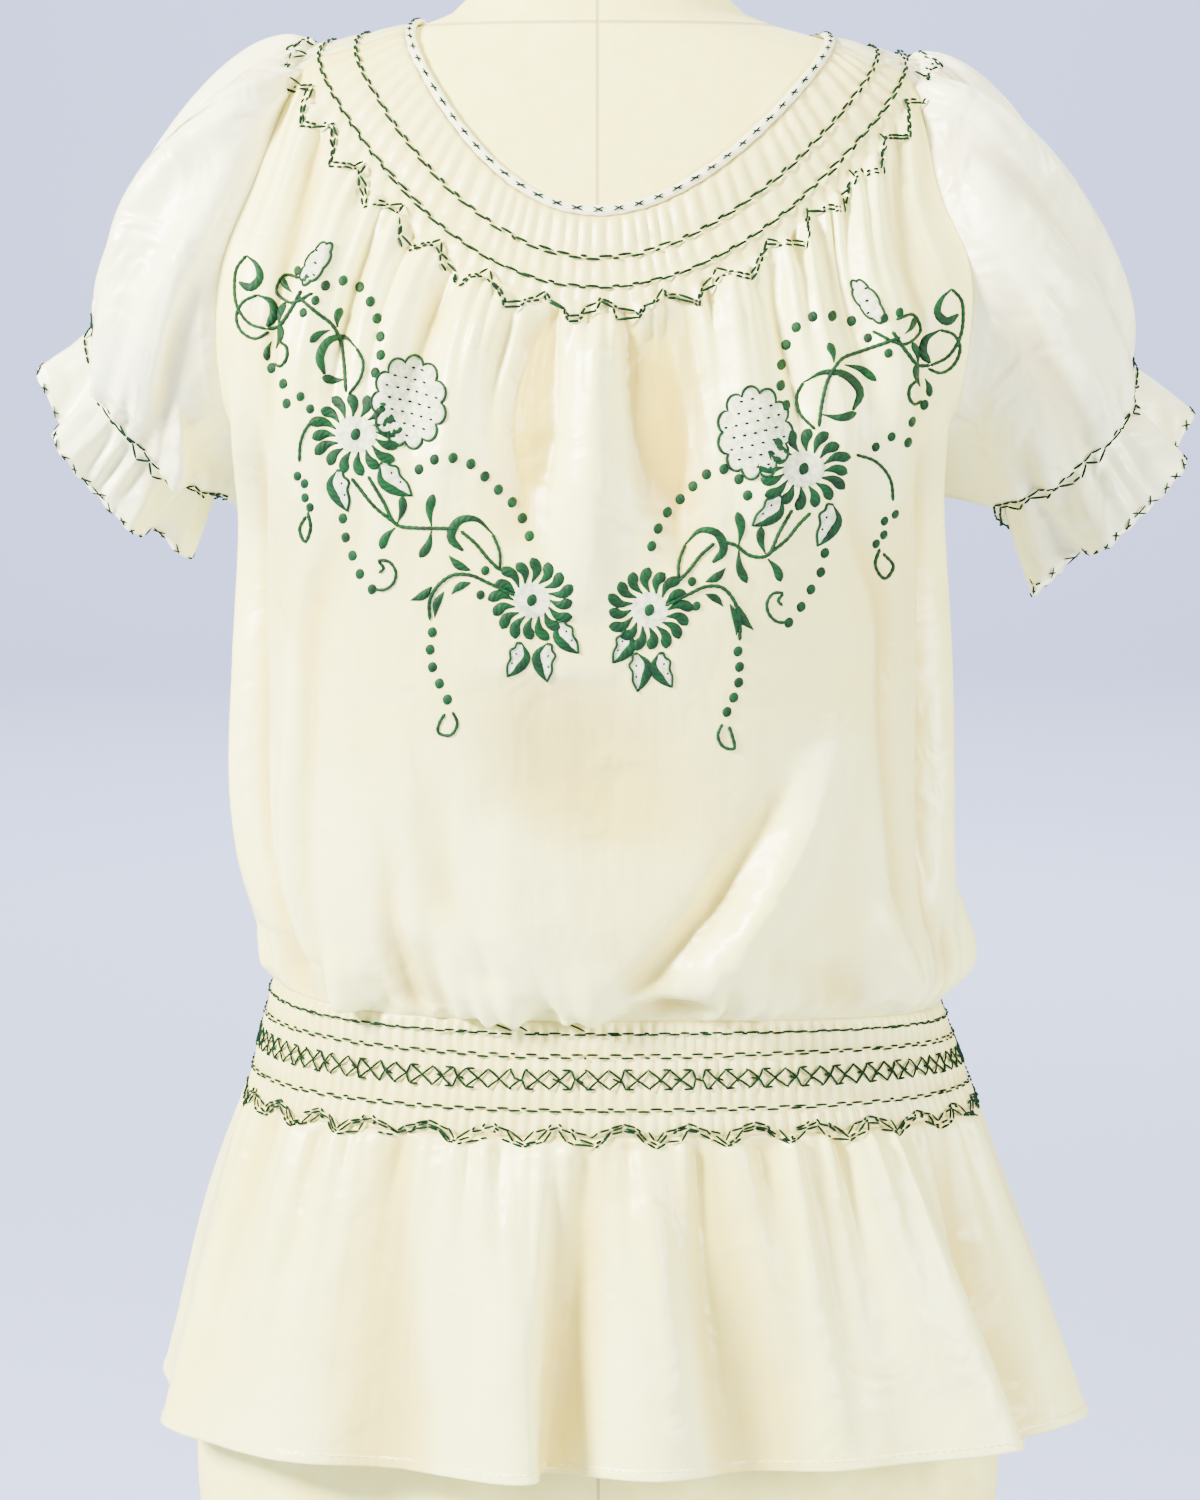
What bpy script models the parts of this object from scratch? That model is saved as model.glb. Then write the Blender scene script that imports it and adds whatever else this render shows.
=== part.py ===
"""Embroidered folk blouse, worn by a plain dress form on a short stand: the construction solids.

Metres, +Z up, the front faces -Y and the wearer's right is at -X. The origin is the centre of the
stand's underside. Tables are in millimetres and become metres as they are read.
"""

import math

import bmesh
import bpy
import numpy as np

MM = 0.001

# Cloth
WALL = 1.2 * MM
SEAM_GAP = 0.3 * MM
MITRE_LIMIT = 0.4
REST_GAP = 1.45 * MM
LOOSE_GAP = 2.4 * MM
SHOULDER_GAP = 6.0 * MM
SHOULDER_FROM = 780 * MM
SHOULDER_FULL = 815 * MM
SMOCK_LIFT = 4.0 * MM
PLEAT_HEIGHT = 1.6 * MM
GATHER_HEIGHT = 1.6 * MM

# Columns and rows of the cloth's grids. A smocked pleat takes two columns.
PANEL_COLUMNS = 48
NECK_COLUMNS = 16
RAGLAN_ROWS = 6
SLEEVE_ROWS = 7
FLOUNCE_ROWS = 2
BAND_ROWS = 2
PEPLUM_ROWS = 5

# Rows of the bodice's control net, and those at which the wall has its points below the underarm
SMOCK_ROW = 2
UNDERARM_ROW = 6
WAIST_ROW = 12
LOWER_ROWS = (6, 7.4, 8.8, 10.0, 11.1, 12)

# The raglan seams cross the smocked neck this far round from the centre front, in degrees.
RAGLAN_ANGLE = 70.0

# Stand
BASE_RADIUS = 150 * MM
BASE_THICKNESS = 14 * MM
BASE_EDGE = 3 * MM
POLE_RADIUS = 16 * MM
ROUND_STEPS = 40
STAND_SHARP = 40

# Neck binding, a rolled strip round the neck edge
BINDING_HALF_WIDTH = 2.0 * MM
BINDING_HALF_DEPTH = 1.1 * MM
BINDING_SIDES = 6
BINDING_STEPS = 56

COLOURS = {
    "cloth": ((0.86, 0.83, 0.68), 0.38, 0.0),
    "binding": ((0.90, 0.88, 0.78), 0.45, 0.0),
    "form": ((0.80, 0.74, 0.58), 0.85, 0.0),
    "metal": ((0.10, 0.10, 0.11), 0.45, 0.6),
}


def table(columns, *rows):
    """Named columns of a table written in millimetres, as arrays in metres."""
    return {name: np.array(column, float) * MM for name, column in zip(columns.split(), zip(*rows))}


def records(columns, *rows):
    """A table's rows as dictionaries of its named columns, one for each row."""
    return [dict(zip(columns.split(), row)) for row in rows]


# The dress form's level sections, from its underside to the top of its neck
FORM = table(
    "z half front back",
    (180, 178, 113, 121),
    (215, 181, 117, 128),
    (265, 178, 119, 131),
    (330, 168, 117, 124),
    (386, 153, 112, 111),
    (432, 140, 105, 99),
    (490, 126, 98, 88),
    (560, 130, 106, 92),
    (620, 137, 121, 100),
    (670, 142, 127, 105),
    (720, 146, 115, 106),
    (770, 149, 101, 104),
    (800, 150, 91, 99),
    (820, 147, 81, 91),
    (834, 135, 73, 83),
    (842, 119, 68, 77),
    (848, 100, 64, 72),
    (854, 78, 61, 67),
    (860, 63, 58, 63),
    (868, 55, 55, 60),
    (900, 52.5, 54, 56),
    (940, 52, 56, 52),
    (964, 51, 57, 50),
)
FORM_POWER = 2.25
FORM_ROWS = 18
FORM_COLUMNS = 40
FORM_CROWN = 8 * MM
CORE_HEIGHT = 750 * MM
OUTSIDE_REACH = 400 * MM

# The form's rows that its shoulders need, and its crown: shares of the neck's width and of the crown's height
SHOULDER_ROWS = slice(12, 21)
CROWN = records("width height", (0.94, 0.55), (0.72, 0.90))

# The two rings of the smocked neck: its edge and the line where the smocking lets the cloth go
NECK_EDGE = dict(half=91, skew=13, z_front=771, z_shoulder=853, z_back=826, front=93, back=80, bow=1.9)
NECK_LOWER = dict(half=132, skew=11, z_front=737, z_shoulder=846, z_back=786, front=118, back=105, bow=1.6)

# The side lines of the bodice below the smocking: the raglan seams down to the underarm, then the side seams.
# `wrap` is how far round its level oval, in degrees, the panel ends.
SIDES = table(
    "z_left z_right x_left x_right y_front y_back",
    (788, 784, -144, 143, -66, 68),
    (748, 748, -158, 156, -80, 80),
    (697, 699, -158.5, 153, -66, 68),
    (643, 650, -148, 143, 0, 0),
    (588, 590, -150, 145, 4, 4),
    (540, 542, -152.5, 147, 4, 4),
    (502, 500, -151, 150.5, 4, 4),
    (476, 472, -148.5, 157, 4, 4),
    (457, 449, -146, 161, 3, 3),
    (441, 428, -142.5, 151, 0, 0),
)
WRAP = (52, 60, 66, 90, 90, 90, 90, 90, 90, 90)
FRONT = table(
    "z y",
    (700, -124),
    (660, -134),
    (618, -137),
    (575, -134),
    (535, -130),
    (500, -129),
    (474, -129),
    (455, -124),
    (444, -117),
    (438, -111),
)
BACK = table(
    "z y",
    (745, 117),
    (700, 124),
    (655, 125),
    (605, 121),
    (560, 118),
    (520, 119),
    (488, 121),
    (465, 119),
    (449, 112),
    (438, 105),
)
BODICE_POWER = 2.5
BODICE_BOW = 1.3

# How folds fade at their ends, how many rows the loose folds and the gathers take to fade beside a seam, and
# the share of a panel beside its side edges that lies plain
FOLD_FADE = 0.7
FREE_FADE = 0.5
GATHER_BELOW_NECK = 1.5
GATHER_ABOVE_WAIST = 1.2
PLAIN_EDGE = 0.1

# Folds of the bodice: they run from a place and row to another, across the panel from the left (-1) to the
# right (1). Heights are in millimetres, less than 0 for a trough, and half widths in shares of half a panel.
FOLD = "at_top row_top at_foot row_foot height width"
FRONT_FOLDS = records(
    FOLD,
    (0.00, 1.6, -0.02, 5.2, 5.5, 0.075),
    (-0.13, 1.7, -0.17, 4.6, -3.0, 0.05),
    (0.14, 1.7, 0.19, 4.8, -3.0, 0.05),
    (-0.27, 1.8, -0.33, 4.4, 3.5, 0.06),
    (0.29, 1.8, 0.36, 4.6, 3.5, 0.06),
    (-0.48, 1.8, -0.52, 4.8, 3.0, 0.055),
    (0.50, 1.8, 0.54, 4.6, 3.0, 0.055),
    (-0.70, 1.9, -0.68, 5.2, 3.0, 0.055),
    (0.72, 1.9, 0.70, 5.4, 3.0, 0.055),
    (-0.90, 5.6, -0.74, 9.2, 4.0, 0.055),
    (0.88, 5.6, 0.76, 9.6, 4.0, 0.055),
    (-0.60, 6.2, -0.62, 10.5, 2.5, 0.06),
    (0.02, 5.9, 0.10, 8.6, -4.0, 0.22),
    (0.42, 6.8, 0.10, 10.8, 4.0, 0.07),
    (-0.16, 7.2, -0.10, 11.0, 2.5, 0.06),
    (-0.86, 9.6, -0.86, 12.2, 3.0, 0.05),
    (-0.68, 9.2, -0.70, 12.2, -2.5, 0.05),
    (-0.50, 9.6, -0.52, 12.2, 3.5, 0.05),
    (-0.34, 9.0, -0.36, 12.2, -2.5, 0.05),
    (-0.20, 9.8, -0.21, 12.2, 3.0, 0.05),
    (-0.02, 9.4, -0.05, 12.2, 3.0, 0.055),
    (0.12, 9.6, 0.10, 12.2, -3.0, 0.05),
    (0.26, 9.2, 0.25, 12.2, 3.5, 0.05),
    (0.42, 9.6, 0.43, 12.2, -2.5, 0.05),
    (0.57, 9.0, 0.58, 12.2, 3.5, 0.055),
    (0.74, 9.4, 0.73, 12.2, -2.5, 0.05),
    (0.88, 9.2, 0.87, 12.2, 3.5, 0.05),
)
BACK_FOLDS = records(
    FOLD,
    (0.03, 1.6, 0.05, 5.0, 4.5, 0.075),
    (-0.22, 1.7, -0.26, 4.8, 3.5, 0.06),
    (0.26, 1.7, 0.31, 4.4, 3.5, 0.06),
    (-0.47, 1.8, -0.52, 5.0, 3.0, 0.055),
    (0.50, 1.8, 0.55, 4.8, 3.0, 0.055),
    (-0.70, 1.9, -0.69, 5.2, 3.0, 0.055),
    (0.72, 1.9, 0.71, 5.0, 3.0, 0.055),
    (0.88, 5.6, 0.72, 9.0, 4.0, 0.055),
    (-0.88, 5.7, -0.74, 9.4, 4.0, 0.055),
    (-0.10, 5.0, -0.02, 10.4, 3.5, 0.08),
    (0.36, 6.2, 0.28, 10.8, 3.0, 0.07),
    (-0.44, 6.0, -0.38, 10.6, 3.0, 0.07),
    (-0.84, 9.4, -0.84, 12.2, 3.0, 0.05),
    (-0.62, 9.2, -0.62, 12.2, 3.5, 0.05),
    (-0.42, 9.7, -0.43, 12.2, -2.5, 0.05),
    (-0.24, 9.2, -0.24, 12.2, 3.5, 0.055),
    (-0.04, 9.6, -0.05, 12.2, -3.0, 0.05),
    (0.14, 9.1, 0.14, 12.2, 3.5, 0.05),
    (0.34, 9.5, 0.34, 12.2, -2.5, 0.05),
    (0.52, 9.2, 0.53, 12.2, 3.5, 0.055),
    (0.70, 9.6, 0.71, 12.2, -2.5, 0.05),
    (0.86, 9.3, 0.86, 12.2, 3.0, 0.05),
)

# The smocked waistband, from its top to its lower edge
BAND = table(
    "z_left z_right z_middle x_left x_right y_front y_back",
    (441, 428, 438, -142.5, 151, -111, 105),
    (414, 405, 414, -149.5, 160, -116, 110),
    (387, 383, 390, -156, 168, -120, 116),
)

# The peplum, from the waistband's lower edge to its hem
PEPLUM = table(
    "z_left z_right z_front z_back x_left x_right y_front y_back",
    (387, 383, 390, 390, -156, 168, -120, 116),
    (354, 352, 357, 358, -166, 180, -129, 127),
    (318, 318, 321, 326, -176, 193, -136, 138),
    (280, 281, 285, 294, -185, 206, -142, 148),
    (243, 246, 251, 262, -193, 217, -147, 157),
)
HIP_POWER = 2.2
PEPLUM_GATHER = 6.0
WAVE_GROWTH = 0.75
SLIDE_GROWTH = 1.2

# How far the peplum's hem stands out and slides round towards the right, in millimetres, at places across
# each panel from the left side (-1) to the right side (1)
HEM = "at out slide"
HEM_FRONT = records(
    HEM,
    (-1.0, 1, 0),
    (-0.93, -4, 0),
    (-0.82, 8, 0),
    (-0.66, 3, 0),
    (-0.52, 6, 0),
    (-0.34, -8, -3),
    (-0.18, 15, 7),
    (-0.09, -11, -6),
    (0.04, 10, 0),
    (0.20, -9, 0),
    (0.32, 4, 0),
    (0.45, 3, 0),
    (0.57, 15, 6),
    (0.68, -11, -6),
    (0.82, 8, 0),
    (0.93, -3, 0),
    (1.0, 1, 0),
)
HEM_BACK = records(
    HEM,
    (-1.0, 1, 0),
    (-0.88, 9, 0),
    (-0.75, -8, 0),
    (-0.57, 12, 2),
    (-0.42, -9, -2),
    (-0.22, 11, 0),
    (-0.04, -8, 0),
    (0.13, 12, 3),
    (0.28, -9, -3),
    (0.46, 8, 0),
    (0.62, -8, 0),
    (0.78, 9, 0),
    (0.90, -5, 0),
    (1.0, 1, 0),
)

# Sleeves: each cuff ring, its tilt, and the length and droop of its flounce
CUFFS = {
    "left": dict(centre=(-191, 0, 692), up=(-48, 16, 75), radius=44, lean=0.38, flounce=28),
    "right": dict(centre=(201, 0, 680), up=(44, 36, 57), radius=43, lean=0.38, flounce=34),
}
CUFF_BACK_LEAN = -0.38
CUFF_PINCH = 8 * MM
CUFF_PINCH_AT = 0.35
CUFF_PINCH_WIDTH = 0.05

# The share of a sleeve's round that each raglan seam takes
SEAM_SHARE = 0.32

# Where each column of a sleeve sets out from and comes in to, round from the underarm (0) up the front
PUFF_AT = (0.0, 0.125, 0.25, 0.375, 0.5, 0.625, 0.75, 0.875)
PUFF = table(
    "out forward up end_swell end_back",
    (14, 0, 4, 9, 2),
    (26, 10, 4, 22, 5),
    (34, 36, -6, 32, 14),
    (32, 26, 2, 30, 20),
    (32, 0, 5, 26, 20),
    (34, -26, 2, 30, 18),
    (40, -30, -4, 32, 14),
    (30, -10, 6, 22, 5),
)

# Folds of a sleeve, from the smocking to the cuff
SLEEVE_FOLDS = records(
    FOLD,
    (0.34, 0.02, 0.37, 1.1, -12.0, 0.035),
    (0.42, 0.02, 0.46, 0.9, 4.0, 0.045),
    (0.24, 0.10, 0.28, 0.9, 4.0, 0.045),
    (0.13, 0.1, 0.18, 1.1, -3.0, 0.035),
    (0.50, 0.02, 0.56, 0.8, -4.0, 0.035),
    (0.60, 0.02, 0.58, 1.0, -4.0, 0.040),
)
FLOUNCE_FLARE = 0.25
FLOUNCE_DROOP = 0.6
FLOUNCE_WAVES = 8
FLOUNCE_HEIGHT = 5.0 * MM
WAVE_SPREAD = 0.8

# A sleeve's gathers, strongest over the shoulder: how far round they reach, and how strong they are
NECK_GATHERS = dict(reach=2.0, strength=9.0)
CUFF_GATHERS = dict(reach=2.4, strength=6.0)
GATHER_NARROWING = 8


def smooth(at, knots, values):
    """A smooth curve through the values at the knots, read at the places in `at`."""
    knots = np.asarray(knots, float)
    values = np.asarray(values, float)
    slopes = np.gradient(values, knots, axis=0)
    first = np.clip(np.searchsorted(knots, at) - 1, 0, len(knots) - 2)
    span = knots[first + 1] - knots[first]
    t = (at - knots[first]) / span
    shape = (-1,) + (1,) * (values.ndim - 1)
    t, span = t.reshape(shape), span.reshape(shape)
    return (
        (2 * t**3 - 3 * t**2 + 1) * values[first]
        + (t**3 - 2 * t**2 + t) * span * slopes[first]
        + (3 * t**2 - 2 * t**3) * values[first + 1]
        + (t**3 - t**2) * span * slopes[first + 1]
    )


def smooth_round(at, knots, values):
    """As smooth(), for values that repeat once round a ring of length 1."""
    knots = np.asarray(knots, float)
    knots = np.concatenate([knots - 1, knots, knots + 1])
    return smooth(at, knots, np.concatenate([values] * 3))


def evenly(curve, at):
    """Points of a curve, given densely, at shares `at` of its length."""
    steps = np.linalg.norm(np.diff(curve, axis=0), axis=1)
    along = np.concatenate([[0], np.cumsum(steps)])
    return np.stack([np.interp(at * along[-1], along, curve[:, k]) for k in range(3)], axis=1)


def signed_power(value, power):
    return np.sign(value) * np.abs(value) ** power


def unit(vectors):
    return vectors / np.maximum(np.linalg.norm(vectors, axis=-1, keepdims=True), 1e-12)


# The dress form


def form_reach(points):
    """Above 1 outside the form and below 1 inside it."""
    z = np.clip(points[..., 2], FORM["z"][0], FORM["z"][-1])
    flat = z.ravel()
    half, front, back = (
        smooth(flat, FORM["z"], FORM[name]).reshape(z.shape) for name in ("half", "front", "back")
    )
    depth = np.where(points[..., 1] < 0, front, back)
    return (np.abs(points[..., 0]) / half) ** FORM_POWER + (np.abs(points[..., 1]) / depth) ** FORM_POWER


def on_form(points, gap):
    """Points moved straight out from the form's core, or in to it, to lie on the form with a gap."""
    core = np.zeros_like(points)
    core[..., 2] = np.minimum(points[..., 2], CORE_HEIGHT)
    ray = unit(points - core)
    near, far = np.zeros(points.shape[:-1]), np.full(points.shape[:-1], OUTSIDE_REACH)
    for _ in range(40):
        middle = (near + far) / 2
        inside = form_reach(core + ray * middle[..., None]) < 1
        near, far = np.where(inside, middle, near), np.where(inside, far, middle)
    return core + ray * (near + gap)[..., None]


def clear_of_form(points, gap):
    """Points that lie nearer the form than the gap, moved out to it."""
    core = np.zeros_like(points)
    core[..., 2] = np.minimum(points[..., 2], CORE_HEIGHT)
    seated = on_form(points, gap)
    deeper = np.linalg.norm(seated - core, axis=-1) > np.linalg.norm(points - core, axis=-1)
    return np.where(deeper[..., None], seated, points)


def loose_gap(points):
    """The gap that cloth which hangs free keeps to the form, widest over the shoulders."""
    share = np.clip((points[..., 2] - SHOULDER_FROM) / (SHOULDER_FULL - SHOULDER_FROM), 0, 1)
    return LOOSE_GAP + (SHOULDER_GAP - LOOSE_GAP) * share


def form_grid():
    """Rings of the form's skin, from its underside up."""
    heights = np.linspace(FORM["z"][0], FORM["z"][-1], FORM_ROWS)
    heights = np.unique(np.round(np.concatenate([heights, FORM["z"][SHOULDER_ROWS]]), 6))
    half, front, back = (smooth(heights, FORM["z"], FORM[name]) for name in ("half", "front", "back"))
    turn = np.linspace(0, 2 * math.pi, FORM_COLUMNS, endpoint=False)
    across = signed_power(np.cos(turn), 2 / FORM_POWER)
    along = signed_power(np.sin(turn), 2 / FORM_POWER)
    depth = np.where(along[None, :] < 0, front[:, None], back[:, None])
    return np.stack(
        [half[:, None] * across, depth * along, np.repeat(heights[:, None], FORM_COLUMNS, axis=1)], axis=-1
    )


# The blouse's surfaces, as the middle of its cloth


def neck_ring(down, angle):
    """The smocked neck, `down` from 0 at its edge to 1 at its lower line, `angle` degrees from the front."""
    size = {name: (NECK_EDGE[name] * (1 - down) + NECK_LOWER[name] * down) for name in NECK_EDGE}
    turn = np.radians(angle)
    cosine = np.cos(turn)
    bow = np.abs(cosine) ** size["bow"]
    middle = np.where(cosine > 0, size["z_front"], size["z_back"])
    ring = np.stack(
        [
            size["half"] * np.sin(turn) + size["skew"] * (1 - bow),
            -cosine * np.where(cosine > 0, size["front"], size["back"]),
            size["z_shoulder"] + (middle - size["z_shoulder"]) * bow,
        ],
        axis=-1,
    )
    return on_form(ring * MM, REST_GAP + SMOCK_LIFT * down**2)


def section(left, right, centre, power, bow, wrap, at):
    """Part of a level oval, from a left point round the centre to a right point, at places -1 to 1."""
    turn = np.linspace(-wrap, wrap, 361) * math.pi / 180
    sine = signed_power(np.sin(turn), 2 / power)
    cosine = np.abs(np.cos(turn)) ** (2 / power)
    rise = (cosine - cosine[0]) / (1 - cosine[0])
    side = np.where((turn < 0)[:, None], left, right)
    curve = np.empty((len(turn), 3))
    curve[:, 0] = centre[0] + (side[:, 0] - centre[0]) * np.abs(sine / sine[0])
    curve[:, 1] = side[:, 1] + (centre[1] - side[:, 1]) * rise
    curve[:, 2] = side[:, 2] + (centre[2] - side[:, 2]) * rise ** (bow * power / 2)
    return evenly(curve, (at + 1) / 2)


def bodice_net(face, at):
    """The bodice's control rows, from the neck edge down to the waistband, at places across."""
    angles = at * RAGLAN_ANGLE if face == "front" else 180 - at * RAGLAN_ANGLE
    rows = [neck_ring(down, angles) for down in (0.0, 0.5, 1.0)]
    panel = FRONT if face == "front" else BACK
    for i, z in enumerate(panel["z"]):
        y = SIDES[f"y_{face}"][i]
        left = np.array([SIDES["x_left"][i], y, SIDES["z_left"][i]])
        right = np.array([SIDES["x_right"][i], y, SIDES["z_right"][i]])
        centre = np.array([0, panel["y"][i], z])
        rows.append(section(left, right, centre, BODICE_POWER, BODICE_BOW, WRAP[i], at))
    return np.array(rows)


def fold_lift(folds, at, down):
    """How far the folds raise the cloth at each row and place."""
    lift = np.zeros((len(down), len(at)))
    for fold in folds:
        share = (down - fold["row_top"]) / (fold["row_foot"] - fold["row_top"])
        middle = fold["at_top"] + (fold["at_foot"] - fold["at_top"]) * share
        strength = np.sin(math.pi * np.clip(share, 0, 1)) ** FOLD_FADE * fold["height"] * MM
        lift += strength[:, None] * np.exp(-(((at[None, :] - middle[:, None]) / fold["width"]) ** 2))
    return lift


def facing(surface, turned):
    """The outward direction at each point of a grid."""
    across = np.cross(np.gradient(surface, axis=1), np.gradient(surface, axis=0))
    return unit(across) * (-1 if turned else 1)


def gathers(count):
    """The cloth's small gathers, in and out by turns, that the smocking lets go."""
    return np.where(np.arange(count) % 4 < 2, GATHER_HEIGHT, -GATHER_HEIGHT)


def inner_share(at):
    """1 over a panel, falling to 0 at its side edges."""
    return np.clip((1 - np.abs(at)) / PLAIN_EDGE, 0, 1)


def bodice(face, at, down):
    """The bodice's surface: one row of points for each place in `down`, 0 at the neck edge to 12."""
    net = bodice_net(face, at)
    surface = smooth(down, np.arange(len(net)), net)
    if len(at) > 1 and len(down) > 1:
        folds = FRONT_FOLDS if face == "front" else BACK_FOLDS
        free = np.clip((down - SMOCK_ROW) / FREE_FADE, 0, 1) * np.clip((WAIST_ROW - down) / FREE_FADE, 0, 1)
        loose = np.exp(-np.clip(down - SMOCK_ROW, 0, None) / GATHER_BELOW_NECK)
        loose += np.exp(-(WAIST_ROW - down) / GATHER_ABOVE_WAIST)
        lift = fold_lift(folds, at, down) + loose[:, None] * gathers(len(at))[None, :]
        lift *= free[:, None] * inner_share(at)[None, :]
        surface = surface + facing(surface, face == "front") * lift[..., None]
    smocked = (down < SMOCK_ROW + 0.1) | (down > WAIST_ROW - 0.1)
    return clear_of_form(surface, np.where(smocked[:, None], REST_GAP, loose_gap(surface)))


def cuff_frame(side):
    """Centre, forward, up and outward directions, radius and lean of a cuff ring."""
    cuff = CUFFS[side]
    up = unit(np.array(cuff["up"], float))
    forward = np.array([0, -1.0, 0])
    forward = unit(forward - up * (forward @ up))
    outward = np.cross(up, forward) if side == "right" else np.cross(forward, up)
    return np.array(cuff["centre"]) * MM, forward, up, outward, cuff["radius"] * MM, cuff["lean"]


def bump(at, centre, width):
    """A smooth hump of height 1 at a place on a ring of length 1."""
    away = np.abs((at - centre + 0.5) % 1.0 - 0.5)
    return np.exp(-((away / width) ** 2))


def cuff_ring(side, at):
    """Points of the cuff's gathering line, round from the underarm up the front, and their outward spokes."""
    centre, forward, up, outward, radius, lean = cuff_frame(side)
    turn = (at * 360 - 90) * math.pi / 180
    spoke = np.cos(turn)[:, None] * forward + np.sin(turn)[:, None] * up
    reach = radius - CUFF_PINCH * bump(at, CUFF_PINCH_AT, CUFF_PINCH_WIDTH)
    toward_front = np.cos(turn)[:, None]
    shift = outward * radius * toward_front * np.where(toward_front > 0, lean, CUFF_BACK_LEAN)
    return centre + spoke * reach[:, None] + shift, spoke, outward


def armhole(side, raglan_rows, neck_columns):
    """The loop where a sleeve sets out: up the front raglan seam, over the smocked neck, down the back seam.

    With it come the places round the loop, 0 at the underarm and 0.5 at the shoulder."""
    sign = -1 if side == "left" else 1
    edge = np.array([sign * 1.0])
    down = np.linspace(UNDERARM_ROW, SMOCK_ROW, raglan_rows + 1)
    front = bodice("front", edge, down)[:, 0]
    back = bodice("back", edge, down)[::-1][:, 0]
    over = neck_ring(1.0, sign * np.linspace(RAGLAN_ANGLE, 180 - RAGLAN_ANGLE, neck_columns + 1))
    loop = np.concatenate([front[:-1], over[:-1], back[:-1]])
    seam = np.linspace(0, SEAM_SHARE, raglan_rows, endpoint=False)
    over = np.linspace(SEAM_SHARE, 1 - SEAM_SHARE, neck_columns, endpoint=False)
    at = np.concatenate([seam, over, seam + 1 - SEAM_SHARE])
    return loop, at


def sleeve(side, raglan_rows, neck_columns, along):
    """The puffed sleeve from its armhole loop (0) to its gathered cuff (1): rows along, columns round."""
    start, at = armhole(side, raglan_rows, neck_columns)
    end, spoke, outward = cuff_ring(side, at)
    reach = {name: smooth_round(at, PUFF_AT, PUFF[name]) for name in PUFF}
    sign = -1 if side == "left" else 1
    set_out = np.stack([sign * reach["out"], -reach["forward"], reach["up"]], axis=-1)
    come_in = spoke * reach["end_swell"][:, None] - outward * reach["end_back"][:, None]
    t = along[:, None, None]
    surface = (
        (1 - t) ** 3 * start
        + 3 * (1 - t) ** 2 * t * (start + set_out)
        + 3 * (1 - t) * t**2 * (end + come_in)
        + t**3 * end
    )
    lift = fold_lift(SLEEVE_FOLDS, at, along)
    aside = GATHER_NARROWING * np.abs(at - 0.5)
    over = np.clip(NECK_GATHERS["reach"] - aside, 0, 1) * NECK_GATHERS["strength"]
    around = np.clip(CUFF_GATHERS["reach"] - aside, 0, 1) * CUFF_GATHERS["strength"]
    near_cuff = along**4 * (1 - along)
    near_neck = (1 - along) ** 6 * along
    lift += (near_cuff[:, None] * around + near_neck[:, None] * over) * gathers(len(at))[None, :]
    closed = np.concatenate([surface[:, -1:], surface, surface[:, :1]], axis=1)
    direction = facing(closed, side == "right")[:, 1:-1]
    surface = surface + direction * lift[..., None]
    loosened = clear_of_form(surface, loose_gap(surface))
    return np.where(along[:, None, None] > 0, loosened, start)


def flounce(side, at, along):
    """The flounce beyond the cuff's gathering line, rows along from 0 at the line to 1 at its edge."""
    start, spoke, outward = cuff_ring(side, at)
    spread = unit(outward + spoke * FLOUNCE_FLARE - np.array([0, 0, FLOUNCE_DROOP]))
    rise = spoke * (np.sin(2 * math.pi * FLOUNCE_WAVES * at + 0.6) * FLOUNCE_HEIGHT)[:, None]
    t = along[:, None, None]
    return start[None] + spread[None] * CUFFS[side]["flounce"] * MM * t + rise[None] * t**WAVE_SPREAD


def ring_rows(rows, face, at):
    """Control rows of the waistband or the peplum for one face."""
    net = []
    for i in range(len(rows["x_left"])):
        middle = rows["z_middle"][i] if "z_middle" in rows else rows[f"z_{face}"][i]
        left = np.array([rows["x_left"][i], 0, rows["z_left"][i]])
        right = np.array([rows["x_right"][i], 0, rows["z_right"][i]])
        centre = np.array([0, rows[f"y_{face}"][i], middle])
        net.append(section(left, right, centre, HIP_POWER, BODICE_BOW, 90, at))
    return np.array(net)


def waistband(face, at, down):
    """The smocked waistband, down from 0 to 1. Its top row is the bodice's last row."""
    net = ring_rows(BAND, face, at)
    net[0] = bodice_net(face, at)[-1]
    return clear_of_form(smooth(down * (len(net) - 1), np.arange(len(net)), net), REST_GAP)


def peplum(face, at, down):
    """The gathered peplum, down from 0 at the waistband to 1 at its hem."""
    net = ring_rows(PEPLUM, face, at)
    surface = smooth(down * (len(net) - 1), np.arange(len(net)), net)
    hem = HEM_FRONT if face == "front" else HEM_BACK
    place = [row["at"] for row in hem]
    wave = smooth(at, place, [row["out"] for row in hem]) * MM
    shift = smooth(at, place, [row["slide"] for row in hem]) * MM
    outward = facing(surface, face == "front")
    round_it = unit(np.gradient(surface, axis=1))
    small = PEPLUM_GATHER * down * (1 - down) ** 2
    lift = (wave * inner_share(at))[None, :] * (down**WAVE_GROWTH)[:, None]
    lift += small[:, None] * (gathers(len(at)) * inner_share(at))[None, :]
    slid = shift[None, :] * (down**SLIDE_GROWTH)[:, None]
    moved = surface + outward * lift[..., None] + round_it * slid[..., None]
    return clear_of_form(moved, REST_GAP)


# Walls of cloth, made from one welded surface so that neighbours share their seam lines


def grid_faces(first, rows, columns, closed, flipped):
    """Corner numbers of the faces of a grid whose points start at `first`."""
    faces = []
    for i in range(rows - 1):
        for j in range(columns if closed else columns - 1):
            k = (j + 1) % columns
            face = [first + i * columns + j, first + i * columns + k]
            face += [first + (i + 1) * columns + k, first + (i + 1) * columns + j]
            faces.append(face[::-1] if flipped else face)
    return faces


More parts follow.
